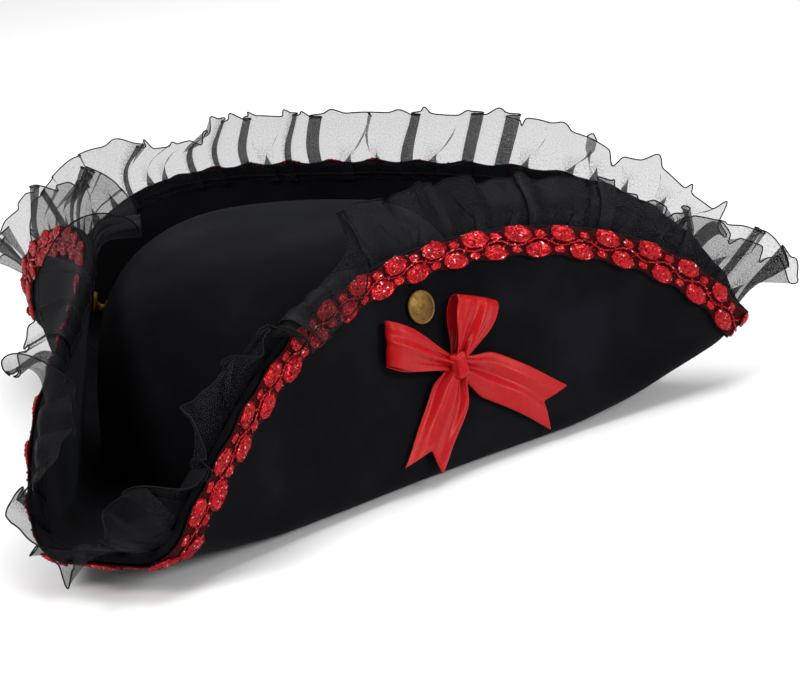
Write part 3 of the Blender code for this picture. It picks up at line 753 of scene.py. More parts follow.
def material_of(name):
    """A finish by name, made the first time that a piece asks for it."""
    if name in bpy.data.materials:
        return bpy.data.materials[name]
    scene = bpy.context.scene
    red = tuple(scene.hat_braid.colour)
    black = tuple(scene.hat_brim.colour)
    makers = {
        "black_velvet": (velvet_material, black),
        "stiff_interlining": (felt_material, (0.05, 0.05, 0.05)),
        "black_lining": (weave_material, (0.018, 0.018, 0.02), 0.5, 0.0006),
        "black_grosgrain": (ribbed_material, (0.02, 0.02, 0.022), 0.0011),
        "black_organza": (organza_material, scene.hat_ruffle),
        "black_thread": (thread_material, (0.003, 0.003, 0.0035)),
        # The glitter's fourth value is the share of its facets painted nearly white as glints.
        "red_glitter": (glitter_material, shade(red, 0.8), 0.55, 0.02, 0.05),
        "red_flakes": (glitter_material, red, 0.6, 0.09, 0.3),
        "dark_beads": (glitter_material, shade(red, 0.35), 0.5, 0.05, 0.2),
        "dark_red_net": (net_material, shade(red, 0.05)),
        "red_satin": (satin_material, tuple(scene.hat_bow.colour)),
        "aged_brass": (brass_material, tuple(scene.hat_snaps.colour)),
    }
    maker, *values = makers[name]
    return maker(name, *values)


# ---- Settings ------------------------------------------------------------------------------
def length(name, description, default):
    return FloatProperty(name=name, description=description, default=default, min=0.0,
                         precision=5, unit="LENGTH", subtype="DISTANCE")


def whole(name, description, default, least):
    return IntProperty(name=name, description=description, default=default, min=least)


def turning(name, description, degrees):
    return FloatProperty(name=name, description=description, default=math.radians(degrees),
                         subtype="ANGLE", unit="ROTATION")


def colour(name, description, default):
    return FloatVectorProperty(name=name, description=description, default=default, min=0.0,
                               max=1.0, size=3, subtype="COLOR")


class HatCrownSettings(bpy.types.PropertyGroup):
    """Sizes of the crown's layers."""
    segments: whole("Segments", "Facets round the crown", 128, 24)
    rings: whole("Rings", "Facets up the crown", 44, 8)
    dent_depth: length("Dent depth", "Height of the dome's soft unevenness", 0.0009)
    band_height: length("Sweatband height", "Height of the sweatband", 0.026)
    stitch_spacing: length("Stitch spacing", "Distance between sweatband stitches", 0.0045)


class HatBrimSettings(bpy.types.PropertyGroup):
    """Sizes and colour of the velvet brim."""
    colour: colour("Velvet colour", "Colour of the pile", (0.0027, 0.0027, 0.0037))
    columns: whole("Columns", "Facets along each panel", 150, 20)
    rows: whole("Rows", "Facets across each panel", 64, 10)
    unevenness: length("Unevenness", "Height of the cloth's gentle waves", 0.00028)
    snap_calm: length("Calm round the snaps", "Reach of the level cloth round a snap", 0.016)
    turn_in: length("Turned-in edge", "How far the outer velvet turns in over the edge", 0.0050)


class HatBraidSettings(bpy.types.PropertyGroup):
    """Sizes and colour of the sequin braid."""
    colour: colour("Sequin colour", "Colour of the glitter", (0.50, 0.003, 0.009))
    width: length("Braid width", "Width of the net that the sequins sit on", 0.013)
    overhang: length("Overhang", "How far the braid stands past the brim's edge", 0.001)
    repeat: length("Repeat", "Distance between motifs of one row", 0.0230)
    motif_length: length("Motif length", "Length of one oval motif", 0.0125)
    motif_width: length("Motif width", "Width of one oval motif", 0.0070)
    motif_height: length("Motif height", "Height of one oval motif off the net", 0.0015)
    cord_radius: length("Cord radius", "Radius of the linking glitter cord", 0.00042)
    flake: length("Flake size", "Radius of one glitter flake", 0.00042)
    flakes: FloatProperty(name="Flakes", description="Glitter flakes on each square metre",
                          default=900000.0, min=0.0)


class HatRuffleSettings(bpy.types.PropertyGroup):
    """Sizes, cover and colour of the gathered ruffle."""
    colour: colour("Organza colour", "Colour of the threads", (0.0030, 0.0030, 0.0040))
    cover: FloatProperty(name="Cover", description="Share of light that one layer stops",
                         default=0.48, min=0.0, max=1.0, subtype="FACTOR")
    height: length("Height", "How far the ruffle stands past the edge", 0.0270)
    seam: length("Seam", "How far inside the edge the ruffle is sewn", 0.006)
    spacing: length("Pleat spacing", "Mean distance from one pleat to the next", 0.0150)
    pleat: length("Pleat width", "Mean width of a pleat", 0.0052)
    rows: whole("Rows", "Facets up the ruffle", 18, 6)
    hem_radius: length("Hem radius", "Radius of the hem's thread", 0.00034)
    seed: whole("Seed", "Picks the pleats", 11, 1)


class HatBowSettings(bpy.types.PropertyGroup):
    """Sizes and colour of the ribbon bow."""
    colour: colour("Ribbon colour", "Colour of the satin", (0.30, 0.0028, 0.0056))
    width: length("Ribbon width", "Width of the ribbon", 0.0215)
    thickness: length("Ribbon thickness", "Thickness of the ribbon", 0.00035)
    knot_along: length("Knot place along", "Place of the knot along the flap", 0.0108)
    knot_height: length("Knot height", "Place of the knot up the flap", 0.0424)
    lift: length("Lift", "Gap between the flap and the ribbon", 0.0010)


class HatSnapSettings(bpy.types.PropertyGroup):
    """Sizes and colour of the snap fasteners."""
    colour: colour("Brass colour", "Colour of the brass", (0.122, 0.066, 0.020))
    segments: whole("Segments", "Facets round a snap", 48, 12)
    cap_radius: length("Cap radius", "Radius of the cap", 0.0075)
    cap_rim: length("Cap rim", "Height of the cap's rim", 0.0007)
    cap_dome: length("Cap dome", "Height of the cap's dome", 0.0011)
    seat: length("Seat", "Gap between the velvet's middle and the cap", 0.0009)


class HatStageSettings(bpy.types.PropertyGroup):
    """Camera, floor and lights."""
    floor_colour: colour("Floor colour", "Colour of the floor", (0.79, 0.79, 0.79))
    lens: FloatProperty(name="Lens", description="Focal length", default=121.44, unit="CAMERA")
    distance: length("Distance", "Distance from the camera to its target", 1.2503)
    azimuth: turning("Azimuth", "Camera's way round the hat", 22.494)
    elevation: turning("Elevation", "Camera's angle above the floor", 15.943)
    roll: turning("Roll", "Camera's tilt", -5.627)


def crown_dents(points):
    """Soft unevenness of the dome, calm at the base and at the three studs."""
    x, y, z = points[..., 0], points[..., 1], points[..., 2]
    wave = (np.sin(x * 47 + y * 21 + 0.7) * np.sin(y * 39 - z * 28)
            + 0.5 * np.sin(x * 83 - y * 64 + 2.0))
    calm = np.clip((z - 0.01) / 0.03, 0, 1)
    for flap in FLAPS:
        middle = box_middle(f"{flap.name}_snap_stud")
        square = ((points - middle) ** 2).sum(-1)
        calm = calm * (1 - np.exp(-square / 0.014 ** 2))
    return wave * calm


def crown_rings(inset, base_height, top_height=None, dents=0.0):
    """Rings of a crown surface upward, ending in a pole if it is a dome."""
    settings = bpy.context.scene.hat_crown
    low = crown_rise_at(base_height, inset)
    high = crown_rise_at(top_height, inset) if top_height else math.pi / 2
    turns = np.arange(settings.segments) * FULL_TURN / settings.segments
    count = 6 if top_height else settings.rings
    rises = low + (high - low) * np.linspace(0, 1, count) ** 0.9
    rings = []
    for rise in rises if top_height else rises[:-1]:
        ring = crown_point(turns, np.full_like(turns, rise), inset)
        middle = np.array([0.0, -CROWN_FORWARD, 0.0])
        ring = ring + unit(ring - middle) * (dents * crown_dents(ring))[:, None]
        rings.append(ring)
    if not top_height:
        rings.append(crown_point(np.zeros(1), np.full(1, math.pi / 2), inset))
    return rings


def crown_shell(name, inset, thickness, base_height, material, top_height=None, dents=0.0):
    outer = crown_rings(inset, base_height, top_height, dents)
    inner = crown_rings(inset + thickness, base_height, top_height, dents)
    rings = outer + inner[::-1]
    flat = []
    for ring in rings:
        turns = np.arctan2(ring[:, 0], -ring[:, 1])
        flat.append(np.stack([turns * CROWN_MEAN_RADIUS, ring[:, 2]], -1))
    return rings_piece(name, rings, material_of(material), closed=True, uv=np.concatenate(flat))


def stitch_row(name, places, ways, normals, size, material):
    """A row of short stitches that lie along their ways, fixed to the crown."""
    steps = 9
    turn = np.linspace(-1, 1, steps)
    path = np.stack([turn * size[0] / 2, np.zeros(steps), (1 - turn ** 2) * size[1]], -1)
    stitch = tube_piece("stitch_pattern", path, size[1] * 0.8, material, sides=5)
    made = set_on_places(name, places, turns_from(ways, normals), stitch, material,
                         size_spread=0.08, turn_spread=(0.0, 0.0, 0.10), seed=5)
    drop(stitch)
    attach(made, "root")
    return made


class HAT_OT_crown(bpy.types.Operator):
    """Build the crown's velvet cover, form, lining and sweatband"""
    bl_idname = "hat.crown"
    bl_label = "Build Crown"

    def execute(self, context):
        settings = context.scene.hat_crown
        dents = settings.dent_depth
        cover = crown_shell("crown_velvet", 0.0, CROWN_VELVET, 2 * HALF_BRIM - 0.0004,
                            "black_velvet", dents=dents)
        form = crown_shell("crown_stiff_form", FORM_INSET, FORM_THICKNESS, 0.0,
                           "stiff_interlining", dents=dents)
        lining = crown_shell("crown_lining_cloth", LINING_INSET, LINING_THICKNESS,
                             CROWN_BASE_RISE, "black_lining", dents=dents * 0.5)
        band = crown_shell("crown_sweatband", BAND_INSET, BAND_THICKNESS, CROWN_BASE_RISE,
                           "black_grosgrain", top_height=settings.band_height)
        for piece, node, slot in ((cover, "crown_cover", "velvet"),
                                  (form, "crown_form", "interlining"),
                                  (lining, "crown_lining", "lining"),
                                  (band, "sweatband", "sweatband")):
            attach(piece, "root")
            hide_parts(node)
        self.stitch_band(settings)
        return {"FINISHED"}

    def stitch_band(self, settings):
        """Two rows of stitches hold the sweatband to the lining."""
        inset = BAND_INSET + BAND_THICKNESS
        count = int(0.56 / settings.stitch_spacing)
        turns = np.arange(count) * FULL_TURN / count
        for name, height in (("low", 0.0035), ("high", settings.band_height - 0.003)):
            rise = np.full(count, crown_rise_at(height, inset))
            places = crown_point(turns, rise, inset)
            ways = unit(crown_point(turns + 0.001, rise, inset) - places)
            inward = -unit(np.cross(ways, UP))
            inward = np.where(((places * [1, 1, 0]) * inward).sum(-1, keepdims=True) > 0,
                              -inward, inward)
            row = stitch_row(f"sweatband_stitches_{name}", places, ways, inward,
                             (settings.stitch_spacing * 0.6, 0.00022),
                             material_of("black_thread"))


# ---- Brim ----------------------------------------------------------------------------------
# Neighbouring panels stand this far apart, as an angle, and the inner layers stop this far short.
PANEL_GAP = 0.00025
LAYER_SHORT = 0.0004


def panel_angles(flap, columns):
    return np.linspace(flap.start + PANEL_GAP, flap.end - PANEL_GAP, columns)


def panel_grid(flap, shares, offset_low, offset_high, outer_gap, settings):
    """Low and high grids of a panel's layer between the opening and near the edge."""
    angles = panel_angles(flap, settings.columns)
    inner = opening_radius(angles)
    outer = edge_radius(angles) - outer_gap
    radius = inner[None] + (outer - inner)[None] * shares[:, None]
    angle = np.broadcast_to(angles, radius.shape)
    flat = np.stack([angle * BRIM_RADIUS, radius], -1)
    return brim_point(radius, angle, offset_low), brim_point(radius, angle, offset_high), flat


def outer_velvet(flap, settings):
    """The outside velvet, which wraps the edge and turns in on the crown's side."""
    angles = panel_angles(flap, settings.columns)
    edge = edge_radius(angles)
    inner = opening_radius(angles)
    shares = np.linspace(0, 1, settings.rows)
    around = np.linspace(0, math.pi, 9)[1:]
    grids = []
    for half in (HALF_BRIM, HALF_BRIM - BRIM_VELVET):
        radii = [inner + (edge - inner) * share for share in shares]
        offsets = [-half] * len(shares)
        radii += [edge + half * math.sin(turn) * 0.5 for turn in around]
        offsets += [-half * math.cos(turn) for turn in around]
        for share in (0.35, 0.7, 1.0):
            radii.append(edge - settings.turn_in * share)
            offsets.append(half)
        radius = np.stack(radii)
        offset = np.broadcast_to(np.array(offsets)[:, None], radius.shape)
        grids.append(brim_point(radius, np.broadcast_to(angles, radius.shape), offset))
    drawn = np.concatenate([shares * 0.105, 0.105 + np.linspace(0, 0.008, 11)])
    flat = np.stack(np.broadcast_arrays(angles[None] * BRIM_RADIUS, drawn[:, None]), -1)
    return grids[0], grids[1], flat


class HAT_OT_brim(bpy.types.Operator):
    """Build the brim: velvet outside, stiffener and velvet inside, in a panel for each flap"""
    bl_idname = "hat.brim"
    bl_label = "Build Brim"

    def execute(self, context):
        settings = context.scene.hat_brim
        shares = np.linspace(0, 1, settings.rows)
        half = BRIM_STIFFENER / 2
        for flap in FLAPS:
            layers = (("velvet_outside", "velvet", "black_velvet", outer_velvet(flap, settings)),
                      ("stiffener", "interlining", "stiff_interlining",
                       panel_grid(flap, shares[::2], -half, half, LAYER_SHORT, settings)),
                      ("velvet_inside", "velvet", "black_velvet",
                       panel_grid(flap, shares, HALF_BRIM - BRIM_VELVET, HALF_BRIM,
                                  settings.turn_in + LAYER_SHORT, settings)))
            for layer, slot, finish, (low, high, flat) in layers:
                piece = layer_piece(f"{flap.name}_brim_{layer}", low, high,
                                    material_of(finish), flat)
                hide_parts(f"{flap.name}_flap_{layer}")
                if layer == "velvet_outside":
                    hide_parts(flap.base)
                bend_with(piece)
        return {"FINISHED"}


# ---- Sequin braid --------------------------------------------------------------------------
NET_STANDOFF = 0.0012
NET_THICKNESS = 0.0005
NET_SCALLOP = 0.0007
NET_STEP = 0.0012
MOTIF_LIFT = 0.0006
MOTIF_PAST_NET = 0.0004
ROSETTE_SHARE = 0.42
CORD_STEP = 0.0009
BEAD_SPACING = 0.0026
BEAD_RADIUS = 0.00055
BEAD_LIFT = 0.0008


def braid_frame(distance, across, settings):
    """Places, ways along, ways across and outward normals on the braid's outer face."""
    angle = edge_angle(distance)
    radius = edge_radius(angle) + settings.overhang - settings.width / 2 + across
    _, outward, around, normal = brim_frame(radius, angle)
    top = brim_point(radius, angle, -HALF_BRIM - NET_STANDOFF)
    return top, around, outward, -normal


def oval_motif(settings, material):
    """One oval of coiled glitter cord: a low lumpy dome with a rounded rim."""
    segments = 22
    turns = np.arange(segments) * FULL_TURN / segments
    rings = []
    profile = ((1.0, -0.15), (1.06, 0.20), (1.0, 0.52), (0.90, 0.60), (0.80, 0.50), (0.66, 0.82),
               (0.50, 0.78), (0.34, 1.0), (0.16, 0.90))
    rng = np.random.default_rng(3)
    for share, height in profile:
        crinkle = 1 + 0.06 * rng.standard_normal(segments)
        x = settings.motif_length / 2 * share * np.cos(turns) * crinkle
        y = settings.motif_width / 2 * share * np.sin(turns) * crinkle
        z = settings.motif_height * (height + 0.16 * rng.standard_normal(segments) * (height > 0))
        rings.append(np.stack([x, y, z], -1))
    top = np.array([[0.0, 0.0, settings.motif_height * 0.95]])
    base = np.array([[0.0, 0.0, -0.15 * settings.motif_height]])
    return rings_piece("oval_pattern", [base] + rings + [top], material)


def bead_motif(radius, material):
    body = bmesh.new()
    bmesh.ops.create_icosphere(body, subdivisions=1, radius=radius)
    data = bpy.data.meshes.new("bead_pattern")
    body.to_mesh(data)
    body.free()
    data.materials.append(material)
    made = bpy.data.objects.new("bead_pattern", data)
    bpy.context.scene.collection.objects.link(made)
    return made


def flake_motif(radius, material):
    """A glitter flake: a thin six-sided plate."""
    turns = np.arange(6) * FULL_TURN / 6
    ring = np.stack([radius * np.cos(turns), radius * np.sin(turns), np.zeros(6)], -1)
    low = ring * [0.8, 0.8, 1.0] - [0, 0, radius * 0.12]
    return rings_piece("flake_pattern", [np.array([[0, 0, -radius * 0.12]]), low, ring,
                                         np.array([[0, 0, 0.0]])], material)


class HAT_OT_braid(bpy.types.Operator):
    """Build the sequin braid along the outside of the edge"""
    bl_idname = "hat.braid"
    bl_label = "Build Sequin Braid"

    def execute(self, context):
        settings = context.scene.hat_braid
        flakes = material_of("red_flakes")
        flake = flake_motif(settings.flake, flakes)
        self.count = round(EDGE_LENGTH / settings.repeat)
        self.repeat = EDGE_LENGTH / self.count
        self.row = settings.width / 2 - settings.motif_width / 2 + MOTIF_PAST_NET
        for order, flap in enumerate(FLAPS):
            start, end = edge_distance(flap.start), edge_distance(flap.end)
            net = self.net(flap, start, end, settings)
            motifs = self.motifs(flap, start, end, settings)
            cords = self.cords(flap, start, end, settings)
            sequins = join_pieces(f"{flap.name}_braid_sequins", [motifs, cords])
            tree = bpy.data.node_groups.get("glitter_flakes") or flakes_tree()
            run_tree(sequins, tree, {"Flake": flake, "Flakes Per Square Metre": settings.flakes,
                                     "Size": 1.0, "Size Spread": 0.35, "Tilt": (0.7, 0.7, 3.0),
                                     "Seed": 20 + order, "Material": flakes})
            beads = self.beads(flap, start, end, settings)
            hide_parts(f"{flap.name}_flap_sequin_trim", f"{flap.point}_sequin_trim")
            for piece in (net, sequins, beads):
                bend_with(piece)
        drop(flake)
        return {"FINISHED"}

    def net(self, flap, start, end, settings):
        """The net band, scalloped on both edges round the ovals."""
        count = int((end - start) / NET_STEP)
        distance = np.linspace(start + 0.00005, end - 0.00005, count)
        shares = np.linspace(-1, 1, 9)
        phase = distance / self.repeat * FULL_TURN
        far = settings.width / 2 + NET_SCALLOP * (np.cos(phase) - 0.6)
        near = settings.width / 2 + NET_SCALLOP * (-np.cos(phase) - 0.6)
        grids = []
        for lift in (0.0, NET_THICKNESS):
            across = np.where(shares[:, None] > 0, shares[:, None] * far, shares[:, None] * near)
            spread = np.broadcast_to(distance, across.shape)
            top, _, _, normal = braid_frame(spread, across, settings)
            grids.append(top + normal * lift)
        flat = np.stack(np.broadcast_arrays(distance[None], shares[:, None] * settings.width / 2),
                        -1)
        return layer_piece(f"{flap.name}_braid_net", grids[0], grids[1],
                           material_of("dark_red_net"), flat)

    def motif_places(self, start, end, phase):
        """Distances of the motifs of one row whose middles lie on this panel."""
        every = (np.arange(self.count) + phase) * self.repeat
        return every[(every >= start) & (every < end)]

    def motifs(self, flap, start, end, settings):
        glitter = material_of("red_glitter")
        oval = oval_motif(settings, glitter)
        made = []
        for kind, size, far_phase, near_phase in (("ovals", 1.0, 0.0, 0.5),
                                                  ("rosettes", ROSETTE_SHARE, 0.5, 0.0)):
            far = self.motif_places(start, end, far_phase)
            near = self.motif_places(start, end, near_phase)
            distance = np.concatenate([far, near])
            row = self.row if kind == "ovals" else self.row - 0.0003
            across = np.concatenate([np.full(len(far), row), np.full(len(near), -row)])
            top, along, _, normal = braid_frame(distance, across, settings)
            made.append(set_on_places(f"{flap.name}_{kind}", top + normal * MOTIF_LIFT,
                                      turns_from(along, normal), oval, glitter, size=size,
                                      size_spread=0.07, turn_spread=(0.10, 0.10, 0.16),
                                      seed=31))
        drop(oval)
        return join_pieces(f"{flap.name}_motifs", made)

    def cords(self, flap, start, end, settings):
        """Wavy glitter cords that link the ovals, two of them crossing between the rows."""
        count = int((end - start) / CORD_STEP)
        distance = np.linspace(start + 0.0004, end - 0.0004, count)
        phase = distance / self.repeat * FULL_TURN
        made = []
        reach = settings.width / 2 - settings.cord_radius
        crinkle = 0.00022 * np.sin(distance * 2900) + 0.00016 * np.sin(distance * 5100 + 1)
        for name, sway, lift in (("a", np.cos(phase) * reach * 0.55, 0.0005),
                                 ("b", -np.cos(phase) * reach * 0.22, 0.0008)):
            top, _, outward, normal = braid_frame(distance, sway + crinkle, settings)
            path = top + normal * (lift + settings.cord_radius
                                   + 0.6 * np.roll(crinkle, 3))[:, None]
            radius = settings.cord_radius * (0.85 + 0.25 * np.sin(distance * 3700))
            made.append(tube_piece(f"{flap.name}_cord_{name}", path, radius,
                                   material_of("red_glitter"), sides=5))
        return join_pieces(f"{flap.name}_cords", made)

    def beads(self, flap, start, end, settings):
        """Tiny beads scattered over the net between the ovals."""
        rng = np.random.default_rng(17)
        count = int((end - start) / BEAD_SPACING)
        distance = rng.uniform(start + 0.002, end - 0.002, count)
        across = rng.uniform(-0.42, 0.42, count) * settings.width
        top, along, _, normal = braid_frame(distance, across, settings)
        material = material_of("dark_beads")
        bead = bead_motif(BEAD_RADIUS, material)
        made = set_on_places(f"{flap.name}_braid_beads", top + normal * BEAD_LIFT,
                             turns_from(along, normal), bead, material, size_spread=0.25, seed=9)
        drop(bead)
        return made


# ---- Ruffle --------------------------------------------------------------------------------
# How far the ruffle's hem leans from the brim's own direction, by degrees round the hat: positive
# leans towards the crown, and beyond a right angle the other way it lies over the braid.
RUFFLE_LEAN = ((0, 0), (3, 2), (6, 10), (8, 30), (10, 36), (12, 4), (14, -40), (16, -70),
               (19, -36), (21.5, 6), (24, -34), (27, -18), (30, -50), (33, -40), (36, -120),
               (40, -165), (45, -168), (49.5, -145), (52, -40), (56, 10), (60, 24), (66, 44),
               (72, 36), (80, 52), (86, 60), (92, 72), (98, 70), (104, 80), (109, 60), (113, -10),
               (118, -76), (122, -60), (126, -66), (132, -88), (138, -80), (144, -82),
               (150, -72), (158, -62), (166, -52), (174, -54), (182, -48), (190, -56),
               (198, -54), (204, -76), (210, -84), (216, -70), (222, 10), (228, 30), (233, 10),
               (237, -40), (240, -72), (243, -30), (248, -16), (252, -8), (256, 16), (260, 32),
               (264, 54), (268, 56), (272, 48), (276, 34), (280, 28), (284, 30), (288, 60),
               (293, 80), (300, 84), (304, 30), (308, -70), (312, -118), (318, -120),
               (327, -122), (330, -150), (332.5, -10), (336, 80), (342, 90), (345, 64),
               (348, 24), (350, -8), (352, 0), (354, -2), (356, -4), (360, 0))
RUFFLE_STANDOFF = 0.0009
SEAM_LAYER = 0.00055
HEM_LAYER = 0.0013
OPEN_STEP = 0.0011
PLEAT_RUN = ((1, 0), (1.06, 0.5), (1, 1), (0.5, 1), (0, 1), (-0.06, 1.5), (0, 2), (0.5, 2), (1, 2))


def pleat_plan(settings):
    """Pleats round the whole hat: place, width, whether it runs to the hem, and its way."""
    rng = random.Random(settings.seed)
    count = int(EDGE_LENGTH / settings.spacing)
    spacing = EDGE_LENGTH / count
    plan = []
    for i in range(count):
        plan.append({
            "place": (i + 0.5 + rng.uniform(-0.28, 0.28)) * spacing,
            "width": settings.pleat * rng.uniform(0.65, 1.25),
            "full": rng.random() < 0.55,
            "side": rng.choice((-1, 1)),
            "slant": rng.uniform(-0.0045, 0.0045),
            "hem_width": rng.uniform(0.6, 1.25),
            "swell": rng.uniform(0.0012, 0.0042) * rng.choice((-1, 1, 1)),
        })
    return plan


def pleat_nodes(pleat):
    """A pleat's columns: seam place and layer, hem place and layer, openness, pressed share."""
    width, side = pleat["width"], pleat["side"]
    hem_width = width * pleat["hem_width"]
    nodes = []
    for order, (run, layer) in enumerate(PLEAT_RUN):
        if pleat["full"]:
            hem = (run - 0.5) * hem_width
            hem_height = layer * HEM_LAYER * side
        else:
            hem = (order / (len(PLEAT_RUN) - 1) - 0.5) * width * 2.2
            hem_height = 0.0
        nodes.append((pleat["place"] + (run - 0.5) * width, layer * SEAM_LAYER * side,
                      pleat["place"] + pleat["slant"] + hem, hem_height,
                      1.0 if pleat["full"] else 0.5, 1.0))
    return nodes


def panel_nodes(pleat, last, following, after, order):
    """Columns of the open panel between a pleat's last column and the pleat that follows."""
    end_seam = after - following["width"] / 2
    spread = following["hem_width"] / 2 if following["full"] else 1.1
    end_hem = after + following["slant"] - following["width"] * spread
    count = max(int((after - pleat["place"]) / OPEN_STEP), 6)
    nodes = []
    for k in range(1, count):
        share = k / count
        settle = 1 - float(smoothstep(share / 0.6))
        swell = pleat["swell"] * math.sin(math.pi * share) * (1 + 0.4 * math.sin(5 * share))
        gather = 0.00035 * math.sin(share * count * 1.9 + order)
        nodes.append((last[0] + (end_seam - last[0]) * share,
                      2 * SEAM_LAYER * pleat["side"] * settle + gather,
                      last[2] + (end_hem - last[2]) * share,
                      (2 * HEM_LAYER * pleat["side"] * settle if pleat["full"] else 0.0) + swell,
                      1.0, 0.0))
    return nodes


def ruffle_columns(settings):
    """Columns of the whole ruffle round the hat, with their corners a little rounded."""
    plan = pleat_plan(settings)
    nodes = []
    for order, pleat in enumerate(plan):
        following = plan[(order + 1) % len(plan)]
        after = following["place"] + (EDGE_LENGTH if order + 1 == len(plan) else 0.0)
        nodes += pleat_nodes(pleat)
        nodes += panel_nodes(pleat, nodes[-1], following, after, order)
    nodes = np.array(nodes)
    lap = np.array([EDGE_LENGTH, 0, EDGE_LENGTH, 0, 0, 0])
    laps = np.concatenate([nodes - lap, nodes, nodes + lap])
    laps = (np.roll(laps, 1, axis=0) + 2 * laps + np.roll(laps, -1, axis=0)) / 4
    kept = laps[len(nodes):2 * len(nodes) + 1]
    doubled = np.empty((2 * len(kept) - 1, kept.shape[1]))
    doubled[::2] = kept
    doubled[1::2] = (kept[1:] + kept[:-1]) / 2
    return doubled.T


def ruffle_lean(distance):
    """How far the hem leans at places along the edge, with a little unevenness."""
    around = np.degrees(np.mod(edge_angle(distance), FULL_TURN))
    at, leans = np.array(RUFFLE_LEAN).T
    lean = sum(np.interp(np.mod(around + step, 360), at, leans)
               for step in (-1.6, -0.8, 0, 0.8, 1.6)) / 5
    lively = np.exp(-(np.sin(1.5 * np.radians(around)) / 0.30) ** 2)
    loose = 0.07 * np.sin(distance * 92 + 1.1) + 0.03 * np.sin(distance * 231)
    return np.radians(lean) + loose + 0.16 * lively * np.sin(distance * 205 + 0.6)


def ruffle_point(distance, lean, share, layer, settings):
    """Places on the ruffle at one share of its height, curled over by the given leans."""
    angle = edge_angle(distance)
    steps = 24
    middles = (np.arange(steps) + 0.5) / steps * share
    turn = lean[:, None] * smoothstep(middles / 0.62)[None]
    stretch = settings.height * share / steps
    reach = np.cos(turn).sum(1) * stretch
    rise = np.sin(turn).sum(1) * stretch
    final = lean * smoothstep(np.array(share / 0.62))
    return (edge_radius(angle) + reach - np.sin(final) * layer, angle,
            HALF_BRIM + RUFFLE_STANDOFF + rise + np.cos(final) * layer)


def ruffle_grid(settings):
    """Points of the whole ruffle, rows up and columns round, with flat places and pressing."""
    seam_place, seam_layer, hem_place, hem_layer, opened, pressed = ruffle_columns(settings)
    heights = np.concatenate([[-1.0, -0.5], np.linspace(0, 1, settings.rows)])
    rows, press = [], []
    for height in heights:
        share = max(height, 0.0)
        open_share = smoothstep(share / opened) ** 0.8
        distance = seam_place + (hem_place - seam_place) * open_share
        layer = seam_layer + (hem_layer - seam_layer) * share ** 1.15
        lively = 1 + 0.9 * np.exp(-(np.sin(1.5 * edge_angle(distance)) / 0.35) ** 2)
        layer = layer * (1 + (lively - 1) * share)
        radius, angle, offset = ruffle_point(distance, ruffle_lean(distance), share, layer,
                                             settings)
        radius = radius + min(height, 0.0) * settings.seam
        rows.append(brim_point(radius, angle, offset))
        press.append(pressed * np.where(opened < 0.9, np.clip(1 - share / 0.45, 0, 1), 1.0))
    points = np.stack(rows)
    lengths = np.linalg.norm(np.diff(points[settings.rows // 2], axis=0), axis=1)
    along = np.concatenate([[0.0], np.cumsum(lengths)])
    up = np.where(heights > 0, heights * settings.height, heights * settings.seam)
    flat = np.stack(np.broadcast_arrays(along[None], up[:, None]), -1)
    return points, flat, np.stack(press), seam_place


class HAT_OT_ruffle(bpy.types.Operator):
    """Build the gathered ruffle inside the edge, and its hem"""
    bl_idname = "hat.ruffle"
    bl_label = "Build Ruffle"

    def execute(self, context):
        settings = context.scene.hat_ruffle
        points, flat, press, seam_place = ruffle_grid(settings)
        turned = np.maximum.accumulate(seam_place)
        for flap in FLAPS:
            start, end = edge_distance(flap.start), edge_distance(flap.end)
            pieces = self.columns_between(turned, start, end)
            points_here, flat_here, press_here = (
                np.concatenate([grid[:, part] for part in pieces], axis=1)
                for grid in (points, flat, press))
            if len(pieces) > 1:
                wrap = pieces[0].stop - pieces[0].start
                flat_here[:, wrap:, 0] += flat[0, -1, 0]
            cloth = sheet_piece(f"{flap.name}_ruffle_organza", points_here,
                                material_of("black_organza"), flat_here)
            pressed = cloth.data.attributes.new("pressed", "FLOAT", "POINT")
            pressed.data.foreach_set("value", press_here.astype(np.float32).ravel())
            hem = tube_piece(f"{flap.name}_ruffle_hem", points_here[-1], settings.hem_radius,
                             material_of("black_thread"), sides=5)
            seam = tube_piece(f"{flap.name}_ruffle_seam", points_here[1], settings.hem_radius * 0.8,
                              material_of("black_thread"), sides=4)
            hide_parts(f"{flap.name}_flap_ruffle", f"{flap.point}_ruffle")
            for piece in (cloth, hem, seam):
                bend_with(piece)
        return {"FINISHED"}

    def columns_between(self, turned, start, end):
        """Column ranges of a panel, which share their end columns with the next panel's."""
        last = int(np.searchsorted(turned, end))
        if start < turned[0]:
            first = int(np.searchsorted(turned, start + EDGE_LENGTH))
            return [slice(first, len(turned)), slice(0, last + 1)]
        first = int(np.searchsorted(turned, start))
        return [slice(first, min(last + 1, len(turned)))]


# ---- Bow -----------------------------------------------------------------------------------
def flap_face(along, height, lift):
    """Points off the left flap's outer face, straight on down below the bend."""
    along, height, lift = np.broadcast_arrays(along, height, lift)
    above = np.maximum(height, FOLD_BEND)

    def disc(distance):
        flat = (LEFT.out * (LEFT.fold + LEFT.bow * along ** 2 / 2 + distance)[..., None]
                + LEFT.along * along[..., None])
        return np.hypot(flat[..., 0], flat[..., 1]), np.arctan2(flat[..., 0], -flat[..., 1])

    radius, angle = disc(above)
    place = brim_point(radius, angle, -HALF_BRIM - lift)
    step = brim_middle(*disc(above + STEP)) - brim_middle(radius, angle)
    return place + step / STEP * (height - above)[..., None]


# The knot's half width, height and depth, and how far its middle stands off the flap.
KNOT_HALF = (0.0048, 0.0054, 0.0034)
KNOT_LIFT = 0.0040
# Half widths of the ribbon where a loop and a tail leave the knot.
LOOP_PINCH = 0.0036
TAIL_PINCH = 0.0050
# Where a loop leaves the knot, and the heights there of its front and back layers.
LOOP_START = 0.0035
LOOP_FRONT = 0.0030
LOOP_BACK = 0.0006
